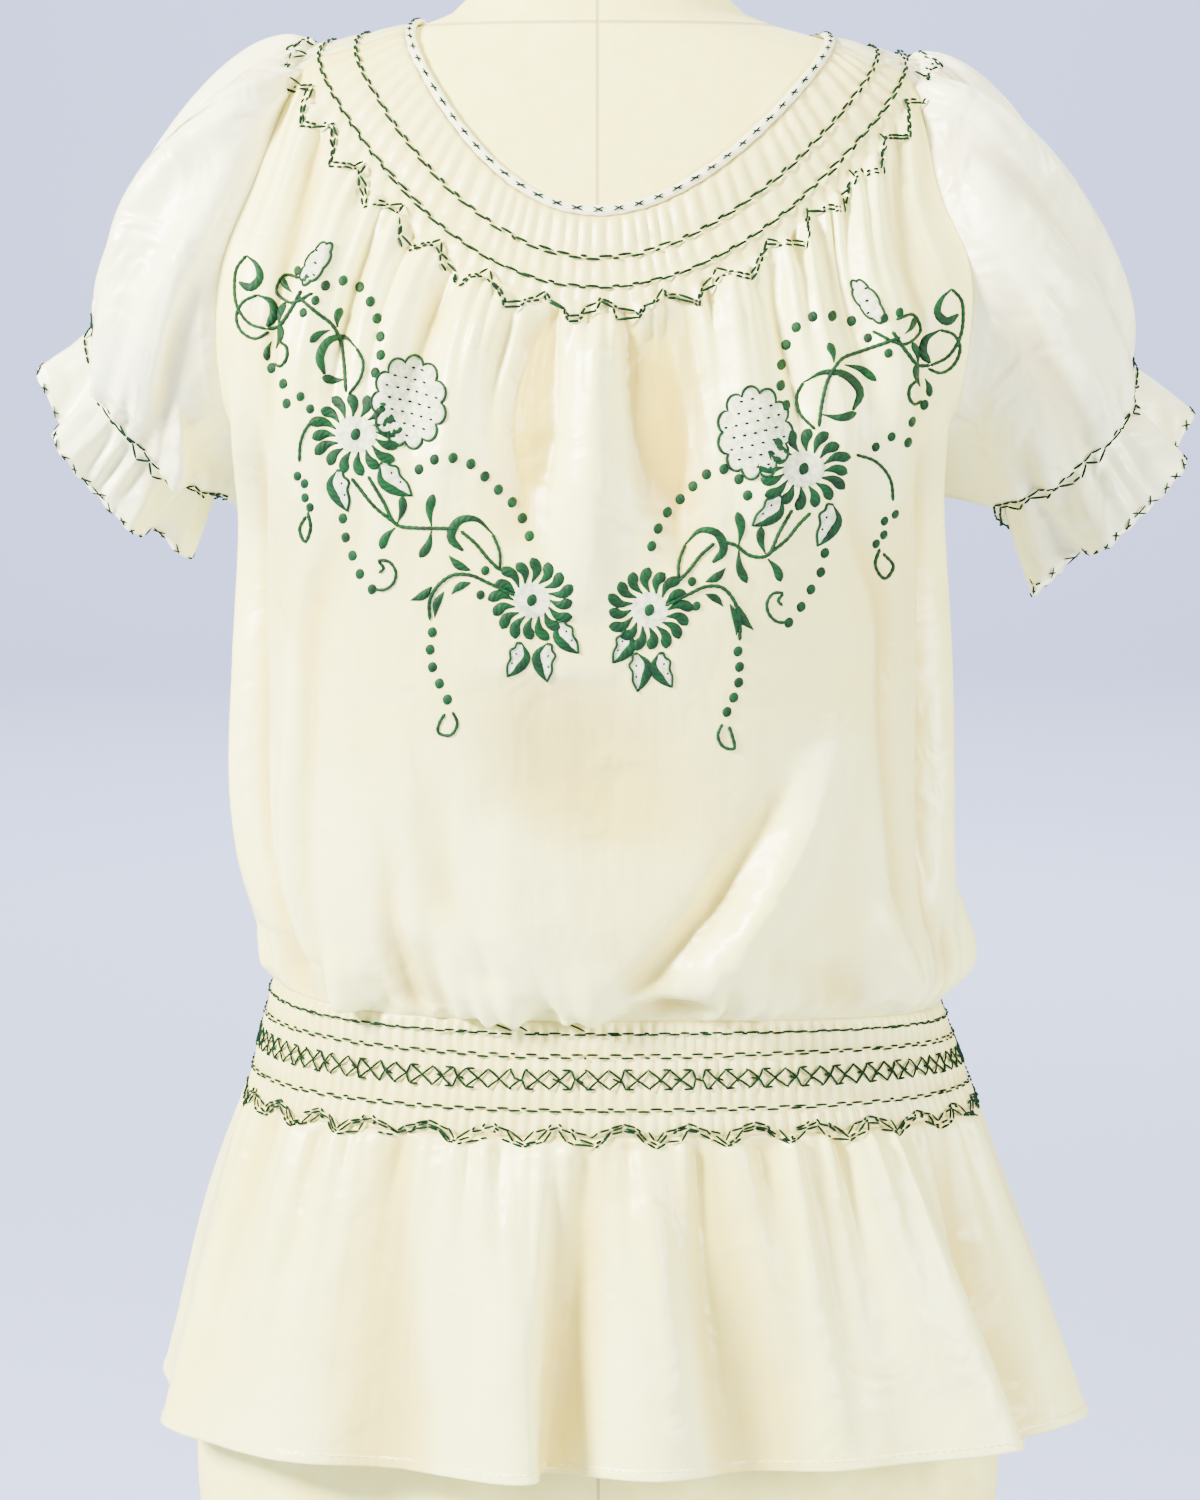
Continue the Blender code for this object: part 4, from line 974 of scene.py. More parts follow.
def make_form(finish):
    """The dress form's skin, closed at its crown and its underside."""
    columns = 144
    heights = np.unique(np.round(np.concatenate([np.linspace(FORM["z"][0], FORM["z"][-1], 90), FORM["z"]]), 6))
    half, front, back = (smooth(heights, FORM["z"], FORM[name]) for name in ("half", "front", "back"))
    turn = np.linspace(0, 2 * math.pi, columns + 1)
    across = signed_power(np.cos(turn), 2 / FORM_POWER)
    along = signed_power(np.sin(turn), 2 / FORM_POWER)
    depth = np.where(along[None, :] < 0, front[:, None], back[:, None])
    rings = np.stack([half[:, None] * across, depth * along, np.repeat(heights[:, None], columns + 1, axis=1)], axis=-1)
    crown = []
    for share, rise in ((0.99, 0.22), (0.94, 0.55), (0.85, 0.78), (0.72, 0.9), (0.4, 0.98), (0.0, 1.0)):
        lifted = rings[-1] * share
        lifted[:, 2] = rings[-1][:, 2] + FORM_CROWN * rise
        crown.append(lifted)
    foot = []
    for share, drop in ((0.0, 0.0), (0.5, 0.0), (0.985, 0.0)):
        flat = rings[0] * share
        flat[:, 2] = rings[0][:, 2] - drop
        foot.append(flat)
    skin = np.concatenate([np.array(foot), rings, np.array(crown)])[::-1]
    made = lay_grid("form_skin", skin, np.ones(skin.shape[:2]), True, (1.0, 1.0))
    select_only(made)
    bpy.ops.object.mode_set(mode="EDIT")
    bpy.ops.mesh.select_all(action="SELECT")
    bpy.ops.mesh.remove_doubles(threshold=0.00002)
    bpy.ops.mesh.normals_make_consistent(inside=False)
    bpy.ops.object.mode_set(mode="OBJECT")
    bpy.ops.object.shade_smooth()
    made.data.materials.append(finish)
    return own(made, "form_torso", "linen")


# Stitching

THREAD = 0.66 * MM
NECK_ROWS = (0.41, 0.75)
ZIGZAG = dict(low=1.17, high=0.91, periods=36, lines=2, apart=0.052)
CABLE_STEP = 4.2 * MM
OUTSIDE = 5 * MM


class Cloth:
    """The cloth that the stitches lie on."""

    def __init__(self, sheets):
        graph = bpy.context.evaluated_depsgraph_get()
        self.trees = [BVHTree.FromObject(sheet, graph) for sheet in sheets]

    def seat(self, points, outward):
        """Points set on the cloth's outside, and the cloth's directions there."""
        seated, normals = [], []
        for point, way in zip(points + outward * OUTSIDE, outward):
            found = min((tree.find_nearest(Vector(point)) for tree in self.trees), key=lambda hit: hit[3])
            normal = found[1] if found[1].dot(Vector(way)) > 0 else -found[1]
            seated.append(found[0])
            normals.append(normal)
        return np.array(seated), np.array(normals)

    def from_front(self, points):
        """Points given by x and z, set on the cloth as seen from the front."""
        seated, normals = [], []
        for x, z in points:
            hits = [tree.ray_cast(Vector((x, -0.4, z)), Vector((0, 1, 0))) for tree in self.trees]
            hits = [hit for hit in hits if hit[0] is not None]
            found = min(hits, key=lambda hit: hit[3]) if hits else (Vector((x, -0.1, z)), Vector((0, -1, 0)))
            seated.append(found[0])
            normals.append(found[1] if found[1].y < 0 else -found[1])
        return np.array(seated), np.array(normals)


def thread_shape():
    """One rounded thread, of length 1 along X and radius 1, as points and faces."""
    bpy.ops.object.select_all(action="DESELECT")
    bpy.ops.mesh.primitive_uv_sphere_add(segments=5, ring_count=6, radius=1.0, rotation=(0, math.pi / 2, 0))
    made = bpy.context.object
    bpy.ops.object.transform_apply(rotation=True)
    points = np.array([vertex.co[:] for vertex in made.data.vertices])
    faces = [tuple(face.vertices) for face in made.data.polygons]
    bpy.data.objects.remove(made)
    points[:, 0] = np.sign(points[:, 0]) * (1 - (1 - np.abs(points[:, 0])) ** 1.6) / 2
    return points, faces


def sew(name, starts, ends, normals, lifts, finish, radius=THREAD, node_slot="satin"):
    """Many threads as one mesh, each from a start to an end, lifted off the cloth."""
    shape, shape_faces = thread_shape()
    starts, ends, normals = (np.asarray(value, float) for value in (starts, ends, normals))
    lifts = np.broadcast_to(lifts, len(starts))
    run = ends - starts
    side = unit(np.cross(normals, run))
    up = unit(np.cross(run, side))
    middle = (starts + ends) / 2 + up * (lifts + radius * 0.5)[:, None]
    arch = 1.0 - 2.4 * shape[:, 0] ** 2
    points = (
        middle[:, None]
        + run[:, None] * shape[None, :, 0:1]
        + side[:, None] * shape[None, :, 1:2] * radius
        + up[:, None] * (shape[None, :, 2:3] * radius * 0.8 + (arch * radius * 0.6)[None, :, None])
    )
    count = len(shape)
    corners = [[index + number * count for index in face] for number in range(len(starts)) for face in shape_faces]
    mesh = bpy.data.meshes.new(name)
    mesh.from_pydata(points.reshape(-1, 3).tolist(), [], corners)
    made = bpy.data.objects.new(name, mesh)
    bpy.context.scene.collection.objects.link(made)
    mesh.materials.append(finish)
    mesh.shade_smooth()
    return own(made, None, node_slot)


def seated_stitches(cloth, starts, ends, outward):
    """Stitches set on the cloth, and how far each is lifted to clear a pleat that it crosses."""
    starts, first = cloth.seat(starts, outward)
    ends, last = cloth.seat(ends, outward)
    chord = (starts + ends) / 2
    between, _ = cloth.seat(chord, outward)
    normals = unit(first + last)
    lifts = np.clip(np.sum((between - chord) * normals, axis=1), 0, 1.5 * MM) * 0.8
    return starts, ends, normals, lifts


def ring_outward(points):
    """Level directions away from the form's middle."""
    away = points * np.array([1.0, 1.0, 0.0])
    return unit(away)


def closed_ring(ring):
    return np.concatenate([ring, ring[:1]])


def round_length(ring):
    return np.linalg.norm(np.roll(ring, -1, axis=0) - ring, axis=1).sum()


def resampled(ring, step, beside=None):
    """A closed ring's points at an even spacing near `step`, or the points beside them on another ring."""
    closed = np.concatenate([ring, ring[:1]])
    along = np.concatenate([[0], np.cumsum(np.linalg.norm(np.diff(closed, axis=0), axis=1))])
    count = max(6, int(round(along[-1] / step)))
    wanted = ring if beside is None else beside
    wanted = np.concatenate([wanted, wanted[:1]])
    return np.stack([np.interp(np.arange(count) / count * along[-1], along, wanted[:, k]) for k in range(3)], axis=1)


def row_stitches(ring, up, step, reach, stagger):
    """A row of stitches along a ring: each is `reach` steps long, every other one a little higher."""
    points = resampled(ring, step)
    rise = unit(resampled(ring, step, up))
    along = np.roll(points, -1, axis=0) - points
    offset = rise * (np.where(np.arange(len(points)) % 2 == 0, 1, -1) * stagger)[:, None]
    return points + offset, points + along * reach + offset


def neck_points(down, angles):
    """Points of the smocked neck, and the way up across its rows."""
    return neck_ring(down, angles), unit(neck_ring(down - 0.06, angles) - neck_ring(down + 0.06, angles))


def zigzag_stitches(place, lines, apart, periods, per_leg, fill=0.82):
    """Dashes of a zigzag of several lines. `place(share, level)` gives points: share round, level 0 low to 1 high."""
    starts, ends = [], []
    legs = periods * 2
    for line in range(lines):
        shift = (line - (lines - 1) / 2) * apart
        for leg in range(legs):
            for dash in range(per_leg):
                begin = (dash + 0.25 * (line % 2)) / per_leg
                finish = min(begin + fill / per_leg, 1.0)
                level = (begin, finish) if leg % 2 == 0 else (1 - begin, 1 - finish)
                starts.append(((leg + begin) / legs, level[0] + shift))
                ends.append(((leg + finish) / legs, level[1] + shift))
    return place(np.array(starts)), place(np.array(ends))


def neck_stitching(cloth, finish):
    angles = np.linspace(-180, 180, 720, endpoint=False)
    starts, ends = [], []
    for down in NECK_ROWS:
        ring, up = neck_points(down, angles)
        a, b = row_stitches(ring, up, CABLE_STEP, 1.22, 0.42 * MM)
        starts.append(a)
        ends.append(b)

    def place(spots):
        share, level = spots.T
        down = ZIGZAG["low"] + (ZIGZAG["high"] - ZIGZAG["low"]) * level
        even = evenly_round(neck_ring(1.04, angles), angles)
        return np.array([neck_ring(d, np.array([a]))[0] for d, a in zip(down, even(share + 0.5 / ZIGZAG["periods"]))])

    apart = ZIGZAG["apart"] / abs(ZIGZAG["low"] - ZIGZAG["high"])
    a, b = zigzag_stitches(place, ZIGZAG["lines"], apart, ZIGZAG["periods"], 4)
    starts, ends = np.concatenate([*starts, a]), np.concatenate([*ends, b])
    outward = from_core(starts)[1]
    return sew("neck_stitching", *seated_stitches(cloth, starts, ends, outward), finish)


def evenly_round(ring, angles):
    """A function from shares of a ring's length to its angles."""
    closed = np.concatenate([ring, ring[:1]])
    along = np.concatenate([[0], np.cumsum(np.linalg.norm(np.diff(closed, axis=0), axis=1))])
    turned = np.append(angles, angles[0] + 360)
    return lambda share: np.interp(share % 1.0, along / along[-1], turned)


def crosses(middle, along, rise, width, height):
    """The two threads of each cross stitch."""
    a = middle - along * width / 2 - rise * height / 2
    b = middle + along * width / 2 + rise * height / 2
    c = middle - along * width / 2 + rise * height / 2
    d = middle + along * width / 2 - rise * height / 2
    return np.concatenate([a, c]), np.concatenate([b, d])


def binding_stitching(cloth, finish):
    angles = np.linspace(0, 360, 720, endpoint=False)
    even = evenly_round(neck_ring(0.0, angles), angles)
    spots = even(np.arange(76) / 76)
    centre, rise, outward = binding_frame(spots)
    along = unit(np.cross(rise, outward))
    a, b = crosses(centre + outward * BINDING_HALF_DEPTH, along, rise, 4.2 * MM, 3.6 * MM)
    way = np.concatenate([outward, outward])
    starts, ends, normals, lifts = seated_stitches(cloth, a, b, way)
    return sew("neck_cross_stitches", starts, ends, normals, lifts, finish, radius=0.42 * MM)


def band_ring(down):
    """A ring round the waistband, from its left side over the front and back over the back."""
    at = np.linspace(-1, 1, 241)
    level = np.array([down])
    front = smooth(level * 2, np.arange(3), band_net("front", at))[0]
    back = smooth(level * 2, np.arange(3), band_net("back", at))[0]
    return np.concatenate([front[:-1], back[::-1][:-1]])


def band_net(face, at):
    net = ring_rows(BAND, face, at)
    net[0] = bodice_net(face, at)[-1]
    return net


def waist_stitching(cloth, finish):
    levels = np.linspace(-0.1, 1.2, 27)
    rings = np.array([evenly(closed_ring(band_ring(level)), np.arange(260) / 260) for level in levels])

    def place(spots):
        """Points at shares round and levels down the band."""
        share, level = spots[:, 0] % 1.0, spots[:, 1]
        row = np.clip((level + 0.1) / 0.05, 0, len(levels) - 1.001)
        lower = row.astype(int)
        column = share * rings.shape[1]
        left = column.astype(int) % rings.shape[1]
        right = (left + 1) % rings.shape[1]
        t, s = (column - column.astype(int))[:, None], (row - lower)[:, None]
        top = rings[lower, left] * (1 - t) + rings[lower, right] * t
        foot = rings[lower + 1, left] * (1 - t) + rings[lower + 1, right] * t
        return top * (1 - s) + foot * s

    girth = round_length(rings[len(rings) // 2])
    starts, ends = [], []
    for level, step, reach, stagger in ((0.095, 3.8, 1.3, 0.006), (0.28, 4.3, 1.12, 0.011), (0.74, 4.4, 1.12, 0.011)):
        count = int(girth / (step * MM))
        share = np.arange(count) / count
        high = level + np.where(np.arange(count) % 2 == 0, stagger, -stagger)
        starts.append(place(np.stack([share, high], axis=1)))
        ends.append(place(np.stack([share + reach / count, high], axis=1)))
    diamonds = int(girth / (8.2 * MM))
    share, half, tall = np.arange(diamonds) / diamonds, 0.5 / diamonds, 0.078
    middle = 0.49
    tick = 0.14 / diamonds
    for side in (-1, 1):
        peak = np.full(diamonds, middle + side * tall)
        knot = np.full(diamonds, middle)
        starts += [place(np.stack([share, knot], axis=1)), place(np.stack([share + half, peak], axis=1))]
        ends += [place(np.stack([share + half, peak], axis=1)), place(np.stack([share + 2 * half, knot], axis=1))]
        starts.append(place(np.stack([share + half - tick, peak], axis=1)))
        ends.append(place(np.stack([share + half + tick, peak], axis=1)))
    starts.append(place(np.stack([share - tick, np.full(diamonds, middle - 0.012)], axis=1)))
    ends.append(place(np.stack([share + tick, np.full(diamonds, middle + 0.012)], axis=1)))
    waves = int(round(girth / (26.5 * MM)))
    a, b = zigzag_stitches(
        lambda spots: place(np.stack([spots[:, 0], 1.03 - 0.13 * spots[:, 1]], axis=1)), 3, 0.26, waves, 3
    )
    starts, ends = np.concatenate([*starts, a]), np.concatenate([*ends, b])
    return sew("waist_stitching", *seated_stitches(cloth, starts, ends, ring_outward(starts)), finish, radius=0.58 * MM)


def cuff_stitching(side, cloth, finish):
    at = np.linspace(0, 1, 360, endpoint=False)
    ring, spoke, outward = cuff_ring(side, at)
    starts, ends = [], []
    for level in (-1.7, 1.7):
        moved = ring + outward * level * MM
        points = resampled(moved, 4.6 * MM)
        along = np.roll(points, -1, axis=0) - points
        starts.append(points)
        ends.append(points + along * 1.05)
    starts, ends = np.concatenate(starts), np.concatenate(ends)
    centre = ring.mean(axis=0)
    way = unit(starts - centre)
    return sew(f"cuff_stitching_{side}", *seated_stitches(cloth, starts, ends, way), finish, radius=0.62 * MM)


def flounce_stitching(side, cloth, finish):
    at = np.linspace(0, 1, 720, endpoint=False)
    edge = flounce(side, at, np.array([0.0, 0.88, 1.0]))
    spoke = cuff_ring(side, at)[1]
    length = np.linalg.norm(np.diff(edge[2], axis=0), axis=1).sum()
    spots = (np.arange(int(length / (8.2 * MM))) * 720 / int(length / (8.2 * MM))).astype(int)
    middle = edge[1][spots] * 0.4 + edge[2][spots] * 0.6
    rise = unit(edge[2] - edge[1])[spots]
    along = unit(np.roll(edge[2], -1, axis=0) - edge[2])[spots]
    a, b = crosses(middle, along, rise, 4.0 * MM, 3.2 * MM)
    way = np.concatenate([spoke[spots]] * 2)
    starts, ends, normals, lifts = seated_stitches(cloth, a, b, way)
    return sew(f"flounce_cross_stitches_{side}", starts, ends, normals, lifts, finish, radius=0.42 * MM)


def hem_stitching(face, cloth, finish):
    """The machine stitches that hold the peplum's narrow rolled hem."""
    at = np.linspace(-0.995, 0.995, 900)
    line = peplum(face, at, np.array([0.9, HEM_FROM - 0.006]))[0][1]
    count = 190
    points = evenly(line, np.linspace(0, 1, count + 1))
    starts = points[:-1]
    ends = points[:-1] + (points[1:] - points[:-1]) * 0.72
    return sew(f"hem_stitches_{face}", *seated_stitches(cloth, starts, ends, ring_outward(starts)), finish, radius=0.22 * MM)


# Embroidery: two sprays on the front, the right one the left one turned over and a little shifted.
# Places are x and z in millimetres.

SPRAY_SHIFT = table(
    "left right lower",
    (0, 0, -4),
    (27, 21, -4),
    (63, 54, -5),
    (76, 63, -12),
    (99, 84, -14),
    (110, 101, -14),
    (124, 124, -17),
    (151, 152, -13),
)
STEM_HALF_WIDTH = 0.82 * MM
PETAL_HALF_WIDTH = 2.4 * MM
SATIN_HEIGHT = 0.85 * MM
SUNK = 0.3 * MM

DAISIES = records(
    "x z inner outer petals turn swirl flat",
    (-99, 685, 8.0, 19.3, 16, 8, 0.14, 0.86),
    (-27, 618, 7.0, 17.3, 16, 0, 0.20, 0.98),
)
SCALLOPS = records(
    "x z half tall lobes turn ridge",
    (-77, 698, 15.2, 18.6, 11, 0, -14),
    (-116, 754, 4.2, 10.2, 7, -34, -30),
)
STEMS = (
    ((-124, 741), (-114, 733), (-109, 729), (-106, 723), (-104, 713), (-103, 702)),
    ((-122, 743), (-127, 734), (-132, 728), (-137, 727)),
    ((-101, 667), (-97, 662), (-92, 656), (-82, 648)),
    ((-94, 668), (-88, 658), (-82, 648), (-74, 647), (-67, 647), (-57, 647)),
    ((-56, 646), (-50, 641), (-45, 635), (-40, 630)),
    ((-34, 620), (-45, 625), (-52, 628), (-59, 628), (-65, 624), (-69, 617), (-69, 609)),
)
THIN_LINES = (
    ((-146, 757), (-150, 752), (-151, 745), (-150, 737), (-144, 729), (-137, 727)),
    ((-141, 741), (-147, 738), (-150, 732), (-148, 726), (-142, 723), (-136, 726)),
    ((-131, 722), (-128, 720), (-128, 715), (-131, 712), (-134, 713)),
    ((-113, 691), (-118, 689), (-122, 682), (-123, 673)),
    ((-90, 628), (-88, 630), (-90, 633), (-86, 633), (-83, 629), (-84, 624), (-88, 621), (-92, 621)),
    ((-60, 571), (-58, 566), (-61, 561), (-66, 562), (-65, 567), (-63, 570)),
    ((-99, 720), (-96, 714), (-97, 708), (-102, 701)),
    ((-43, 645), (-40, 637), (-40, 631)),
    ((-117, 742), (-127, 738), (-133, 742), (-130, 749), (-123, 748)),
    ((-121, 650), (-124, 644), (-122, 639), (-119, 645), (-120, 652)),
)
CRESCENTS = (
    ((-112, 709), (-114, 716), (-110, 723), (-104, 724), (-99, 720)),
    ((-55, 638), (-60, 643), (-57, 650), (-50, 651), (-43, 645)),
    ((-149, 746), (-144, 744), (-140, 748), (-142, 754), (-146, 757)),
    ((-137, 728), (-134, 733), (-135, 738), (-141, 741)),
)
LEAVES = records(
    "x z tip_x tip_z half",
    (-107, 728, -105.5, 736, 1.9),
    (-110, 727, -118, 722, 1.8),
    (-104, 707, -113, 708, 2.0),
    (-82, 649, -80, 660, 1.9),
    (-68, 648, -67, 661, 2.1),
    (-83, 647, -89, 638, 2.0),
    (-68, 646, -73, 635, 2.0),
    (-133, 719, -131, 729, 1.9),
    (-132, 728, -129, 738, 1.7),
    (-135, 722, -137, 714, 1.7),
    (-126, 742, -131, 748, 1.5),
)
SPEARS = records(
    "x z tip_x tip_z half",
    (-52, 630, -61, 636, 1.9),
    (-52, 625, -60, 620, 1.7),
    (-68, 623, -77, 617, 1.9),
    (-63, 621, -67, 610, 1.7),
)
PAISLEYS = records(
    "x z top_x top_z side",
    (-103, 653, -107, 670, -1),
    (-76, 660, -89, 673, -1),
    (-37, 586, -31, 600, 1),
    (-21, 584, -21, 600, -1),
    (-8, 596, -16, 609, -1),
)
DOT_ROWS = (
    ("rows of dots", ((-112, 745), (-104, 747), (-99, 745), (-95, 741), (-91, 733), (-89, 724), (-89, 716), (-91, 710)), 8),
    ("above", ((-73, 671), (-67, 675), (-61, 676), (-53, 674), (-43, 665), (-33, 655), (-28, 644)), 9),
    ("below", ((-105, 650), (-104, 642), (-101, 634), (-98, 627), (-93, 621)), 5),
    ("low", ((-68, 604), (-69, 597), (-68, 589), (-65, 582), (-62, 576)), 5),
    ("side", ((-135, 711), (-129, 704), (-128, 697)), 3),
)
LONE_DOTS = (
    (-116, 739), (-121, 734), (-124, 751), (-120, 748), (-122, 700), (-118, 695), (-124, 667), (-121, 664),
    (-121, 658), (-119, 654), (-46, 630), (-48, 620),
)
DROP = ((0.0, 0.16), (0.15, 0.3), (0.35, 0.62), (0.55, 0.9), (0.72, 1.0), (0.86, 0.88), (0.95, 0.55), (1.0, 0.2))
SPEAR = ((0.0, 0.15), (0.2, 0.65), (0.4, 1.0), (0.6, 0.92), (0.8, 0.5), (1.0, 0.1))
MOON = ((0.0, 0.3), (0.15, 0.9), (0.35, 1.0), (0.6, 0.8), (0.85, 0.35), (1.0, 0.22))
ROUND = ((0.0, 0.3), (0.1, 0.62), (0.25, 0.88), (0.5, 1.0), (0.75, 0.88), (0.9, 0.62), (1.0, 0.3))


def through(knots, count):
    """A smooth curve through a few points, as `count` evenly spaced ones."""
    along = np.concatenate([[0], np.cumsum(np.linalg.norm(np.diff(knots, axis=0), axis=1))])
    return evenly(smooth(np.linspace(0, along[-1], count * 8), along, knots), np.linspace(0, 1, count))


def profile(shape, count):
    places, values = zip(*shape)
    return np.interp(np.linspace(0, 1, count), places, values)


def flat_points(pairs):
    """Points of the x and z plane, in metres."""
    return np.array([(x, 0.0, z) for x, z in pairs]) * MM


class Spray:
    """One spray's stitched shapes, gathered as rings of points and laid on the cloth together."""

    def __init__(self, side):
        self.flip = -1.0 if side == "right" else 1.0
        self.threads = {"green": [], "white": [], "dark": []}

    def place(self, points):
        """Where points of the left spray's layout lie in this spray."""
        moved = np.array(points, float)
        if self.flip < 0:
            moved[:, 0] = np.interp(-points[:, 0], SPRAY_SHIFT["left"], SPRAY_SHIFT["right"])
            moved[:, 2] += np.interp(-points[:, 0], SPRAY_SHIFT["left"], SPRAY_SHIFT["lower"])
        return moved

    def around(self, centre, points):
        """A flower's own points, round its placed centre."""
        anchor = self.place(flat_points([centre]))[0]
        return anchor + np.asarray(points) * np.array([self.flip, 1.0, 1.0])

    def keep(self, thread, rings, lifts, measures):
        self.threads[thread].append((rings, lifts, measures))

    def stroke(self, thread, curve, half_widths, height, sides=8):
        """A raised line of stitches: a flattened tube along a curve."""
        along = unit(np.gradient(curve, axis=0))
        across = np.stack([along[:, 2], np.zeros(len(curve)), -along[:, 0]], axis=1)
        turn = np.linspace(0, 2 * math.pi, sides, endpoint=False)
        sideways = np.cos(turn)[None, :] * half_widths[:, None]
        full = (half_widths / half_widths.max()) ** 0.6
        rise = np.where(np.sin(turn) > -0.1, np.abs(np.sin(turn)) ** 0.8 * height, -SUNK)
        travelled = np.concatenate([[0], np.cumsum(np.linalg.norm(np.diff(curve, axis=0), axis=1))])
        measures = np.stack([sideways, np.repeat(travelled[:, None], sides, axis=1)], axis=-1)
        rings = curve[:, None] + across[:, None] * sideways[..., None]
        self.keep(thread, rings, full[:, None] * rise[None, :], measures)

    def line(self, pairs, half_width=STEM_HALF_WIDTH, placed=False):
        knots = pairs if placed else self.place(flat_points(pairs))
        length = np.linalg.norm(np.diff(knots, axis=0), axis=1).sum()
        count = max(8, int(length / (0.9 * MM)))
        curve = through(knots, count)
        beads = 1 + 0.14 * np.sin(np.arange(count) * 2.1)
        beads[[0, -1]] = 0.4
        self.stroke("green", curve, half_width * beads, 1.1 * half_width + 0.2 * MM, 6)

    def shape(self, thread, root, tip, half, shape, bend, height=SATIN_HEIGHT, count=11):
        """A satin-stitched shape from a root to a tip, bent to one side."""
        run = tip - root
        aside = np.array([run[2], 0.0, -run[0]]) * bend
        curve = through(np.array([root, root + run * 0.5 + aside, tip]), count)
        self.stroke(thread, curve, profile(shape, count) * half, height)

    def dot(self, pair, half=1.75 * MM, thread="green", placed=False):
        middle = np.asarray(pair) if placed else self.place(flat_points([pair]))[0]
        reach = np.array([0.35, 0.0, 1.0]) * half * 1.02
        self.shape(thread, middle - reach, middle + reach, half, ROUND, 0.0, min(SATIN_HEIGHT, half * 0.7), 7)

    def pad(self, outline, height, ridge, pitch):
        """A padded patch inside an outline, in slanting ridges."""
        centre = outline.mean(axis=0)
        top = np.array([0.02, 0.12, 0.24, 0.37, 0.5, 0.63, 0.75, 0.85, 0.93, 0.98])
        shares = np.concatenate([top, [1.0], top[::-2]])
        raised = np.concatenate([np.ones(len(top), bool), np.zeros(1 + len(top[::-2]), bool)])
        rings = centre + (outline - centre)[None] * shares[:, None, None]
        turn = math.radians(ridge)
        offset = rings - centre
        across = -offset[..., 0] * math.sin(turn) * self.flip + offset[..., 2] * math.cos(turn)
        ridges = 0.45 + 0.55 * np.abs(np.sin(math.pi * across / pitch)) ** 0.7
        edge = np.clip((1 - shares) / 0.1, 0, 1)[:, None]
        lifts = np.where(raised[:, None], edge * height * ridges, -SUNK)
        self.keep("white", rings, lifts, np.stack([rings[..., 0], rings[..., 2]], axis=-1))

    def daisy(self, x, z, inner, outer, petals, turn, swirl, flat):
        ring = np.linspace(0, 2 * math.pi, 40, endpoint=False)
        disc = np.stack([np.cos(ring), np.zeros(40), np.sin(ring) * flat], axis=1) * inner * 1.15 * MM
        self.pad(self.around((x, z), disc), 0.3 * MM, 40, 3.4 * MM)
        self.dot(self.around((x, z), np.zeros(3)), 2.4 * MM, placed=True)
        for petal in range(petals):
            angle = math.radians(turn + 360 * petal / petals)
            uneven = 1 + 0.05 * math.sin(petal * 2.7 + x)
            way = np.array([math.cos(angle), 0.0, math.sin(angle) * flat])
            root = self.around((x, z), way * inner * 1.04 * MM)
            tip = self.around((x, z), way * outer * uneven * MM)
            self.shape("green", root, tip, PETAL_HALF_WIDTH, DROP, swirl * self.flip)

    def scalloped(self, x, z, half, tall, lobes, turn, ridge):
        """A white net flower with a scalloped outline and rows of small dark stitches."""
        ring = np.linspace(0, 2 * math.pi, lobes * 9, endpoint=False)
        reach = 0.86 + 0.16 * np.abs(np.sin(ring * lobes / 2)) ** 0.7
        lean = math.radians(turn)
        flat = np.stack([np.cos(ring) * half, np.zeros(len(ring)), np.sin(ring) * tall], axis=1) * reach[:, None] * MM
        leant = flat.copy()
        leant[:, 0] = flat[:, 0] * math.cos(lean) - flat[:, 2] * math.sin(lean)
        leant[:, 2] = flat[:, 0] * math.sin(lean) + flat[:, 2] * math.cos(lean)
        outline = self.around((x, z), leant)
        self.pad(outline, 0.8 * MM, ridge, 3.0 * MM)
        loop = np.concatenate([outline, outline[:1]])
        self.stroke("green", loop, np.full(len(loop), 0.62 * MM), 1.05 * MM, 6)
        pitch_across, pitch_along = 6.0 * MM, 4.3 * MM
        slant = math.radians(ridge)
        for row in np.arange(-4, 5):
            for step in np.arange(-5, 6):
                u, v = (step + 0.5 * (row % 2)) * pitch_along, row * pitch_across * 0.75
                spot = np.array([u * math.cos(slant) - v * math.sin(slant), 0.0, u * math.sin(slant) + v * math.cos(slant)])
                if (spot[0] / (half * MM)) ** 2 + (spot[2] / (tall * MM)) ** 2 < 0.6:
                    along = np.array([math.cos(slant), 0.0, math.sin(slant)]) * 0.85 * MM
                    ends = self.around((x, z), np.array([spot - along, spot + along]))
                    self.shape("dark", ends[0], ends[1], 0.6 * MM, ROUND, 0.0, 1.3 * MM, 5)

    def paisley(self, x, z, top_x, top_z, side):
        """An outlined leaf, white inside: one side thick with satin stitch, the other scalloped."""
        tip, top = self.place(flat_points([(x, z), (top_x, top_z)]))
        run = top - tip
        aside = np.array([run[2], 0.0, -run[0]]) * side * self.flip
        thick = through(np.array([tip, tip + run * 0.3 + aside * 0.17, tip + run * 0.72 + aside * 0.25, top]), 13)
        self.stroke("green", thick, profile(SPEAR, 13) * 2.2 * MM, SATIN_HEIGHT)
        knots = [tip, tip + run * 0.3 - aside * 0.13, tip + run * 0.5 - aside * 0.13, tip + run * 0.7 - aside * 0.22,
                 tip + run * 0.84 - aside * 0.13, tip + run * 0.97 - aside * 0.13, top]
        thin = through(np.array(knots), 26)
        self.stroke("green", thin, np.full(26, 0.6 * MM), 0.9 * MM, 6)
        outline = np.concatenate([thick[:-1], thin[::-1][:-1]])
        self.pad(outline, 0.3 * MM, 20, 3.0 * MM)
        for share in (0.4, 0.68):
            self.dot(tip + run * share - aside * 0.04, 0.6 * MM, "dark", placed=True)

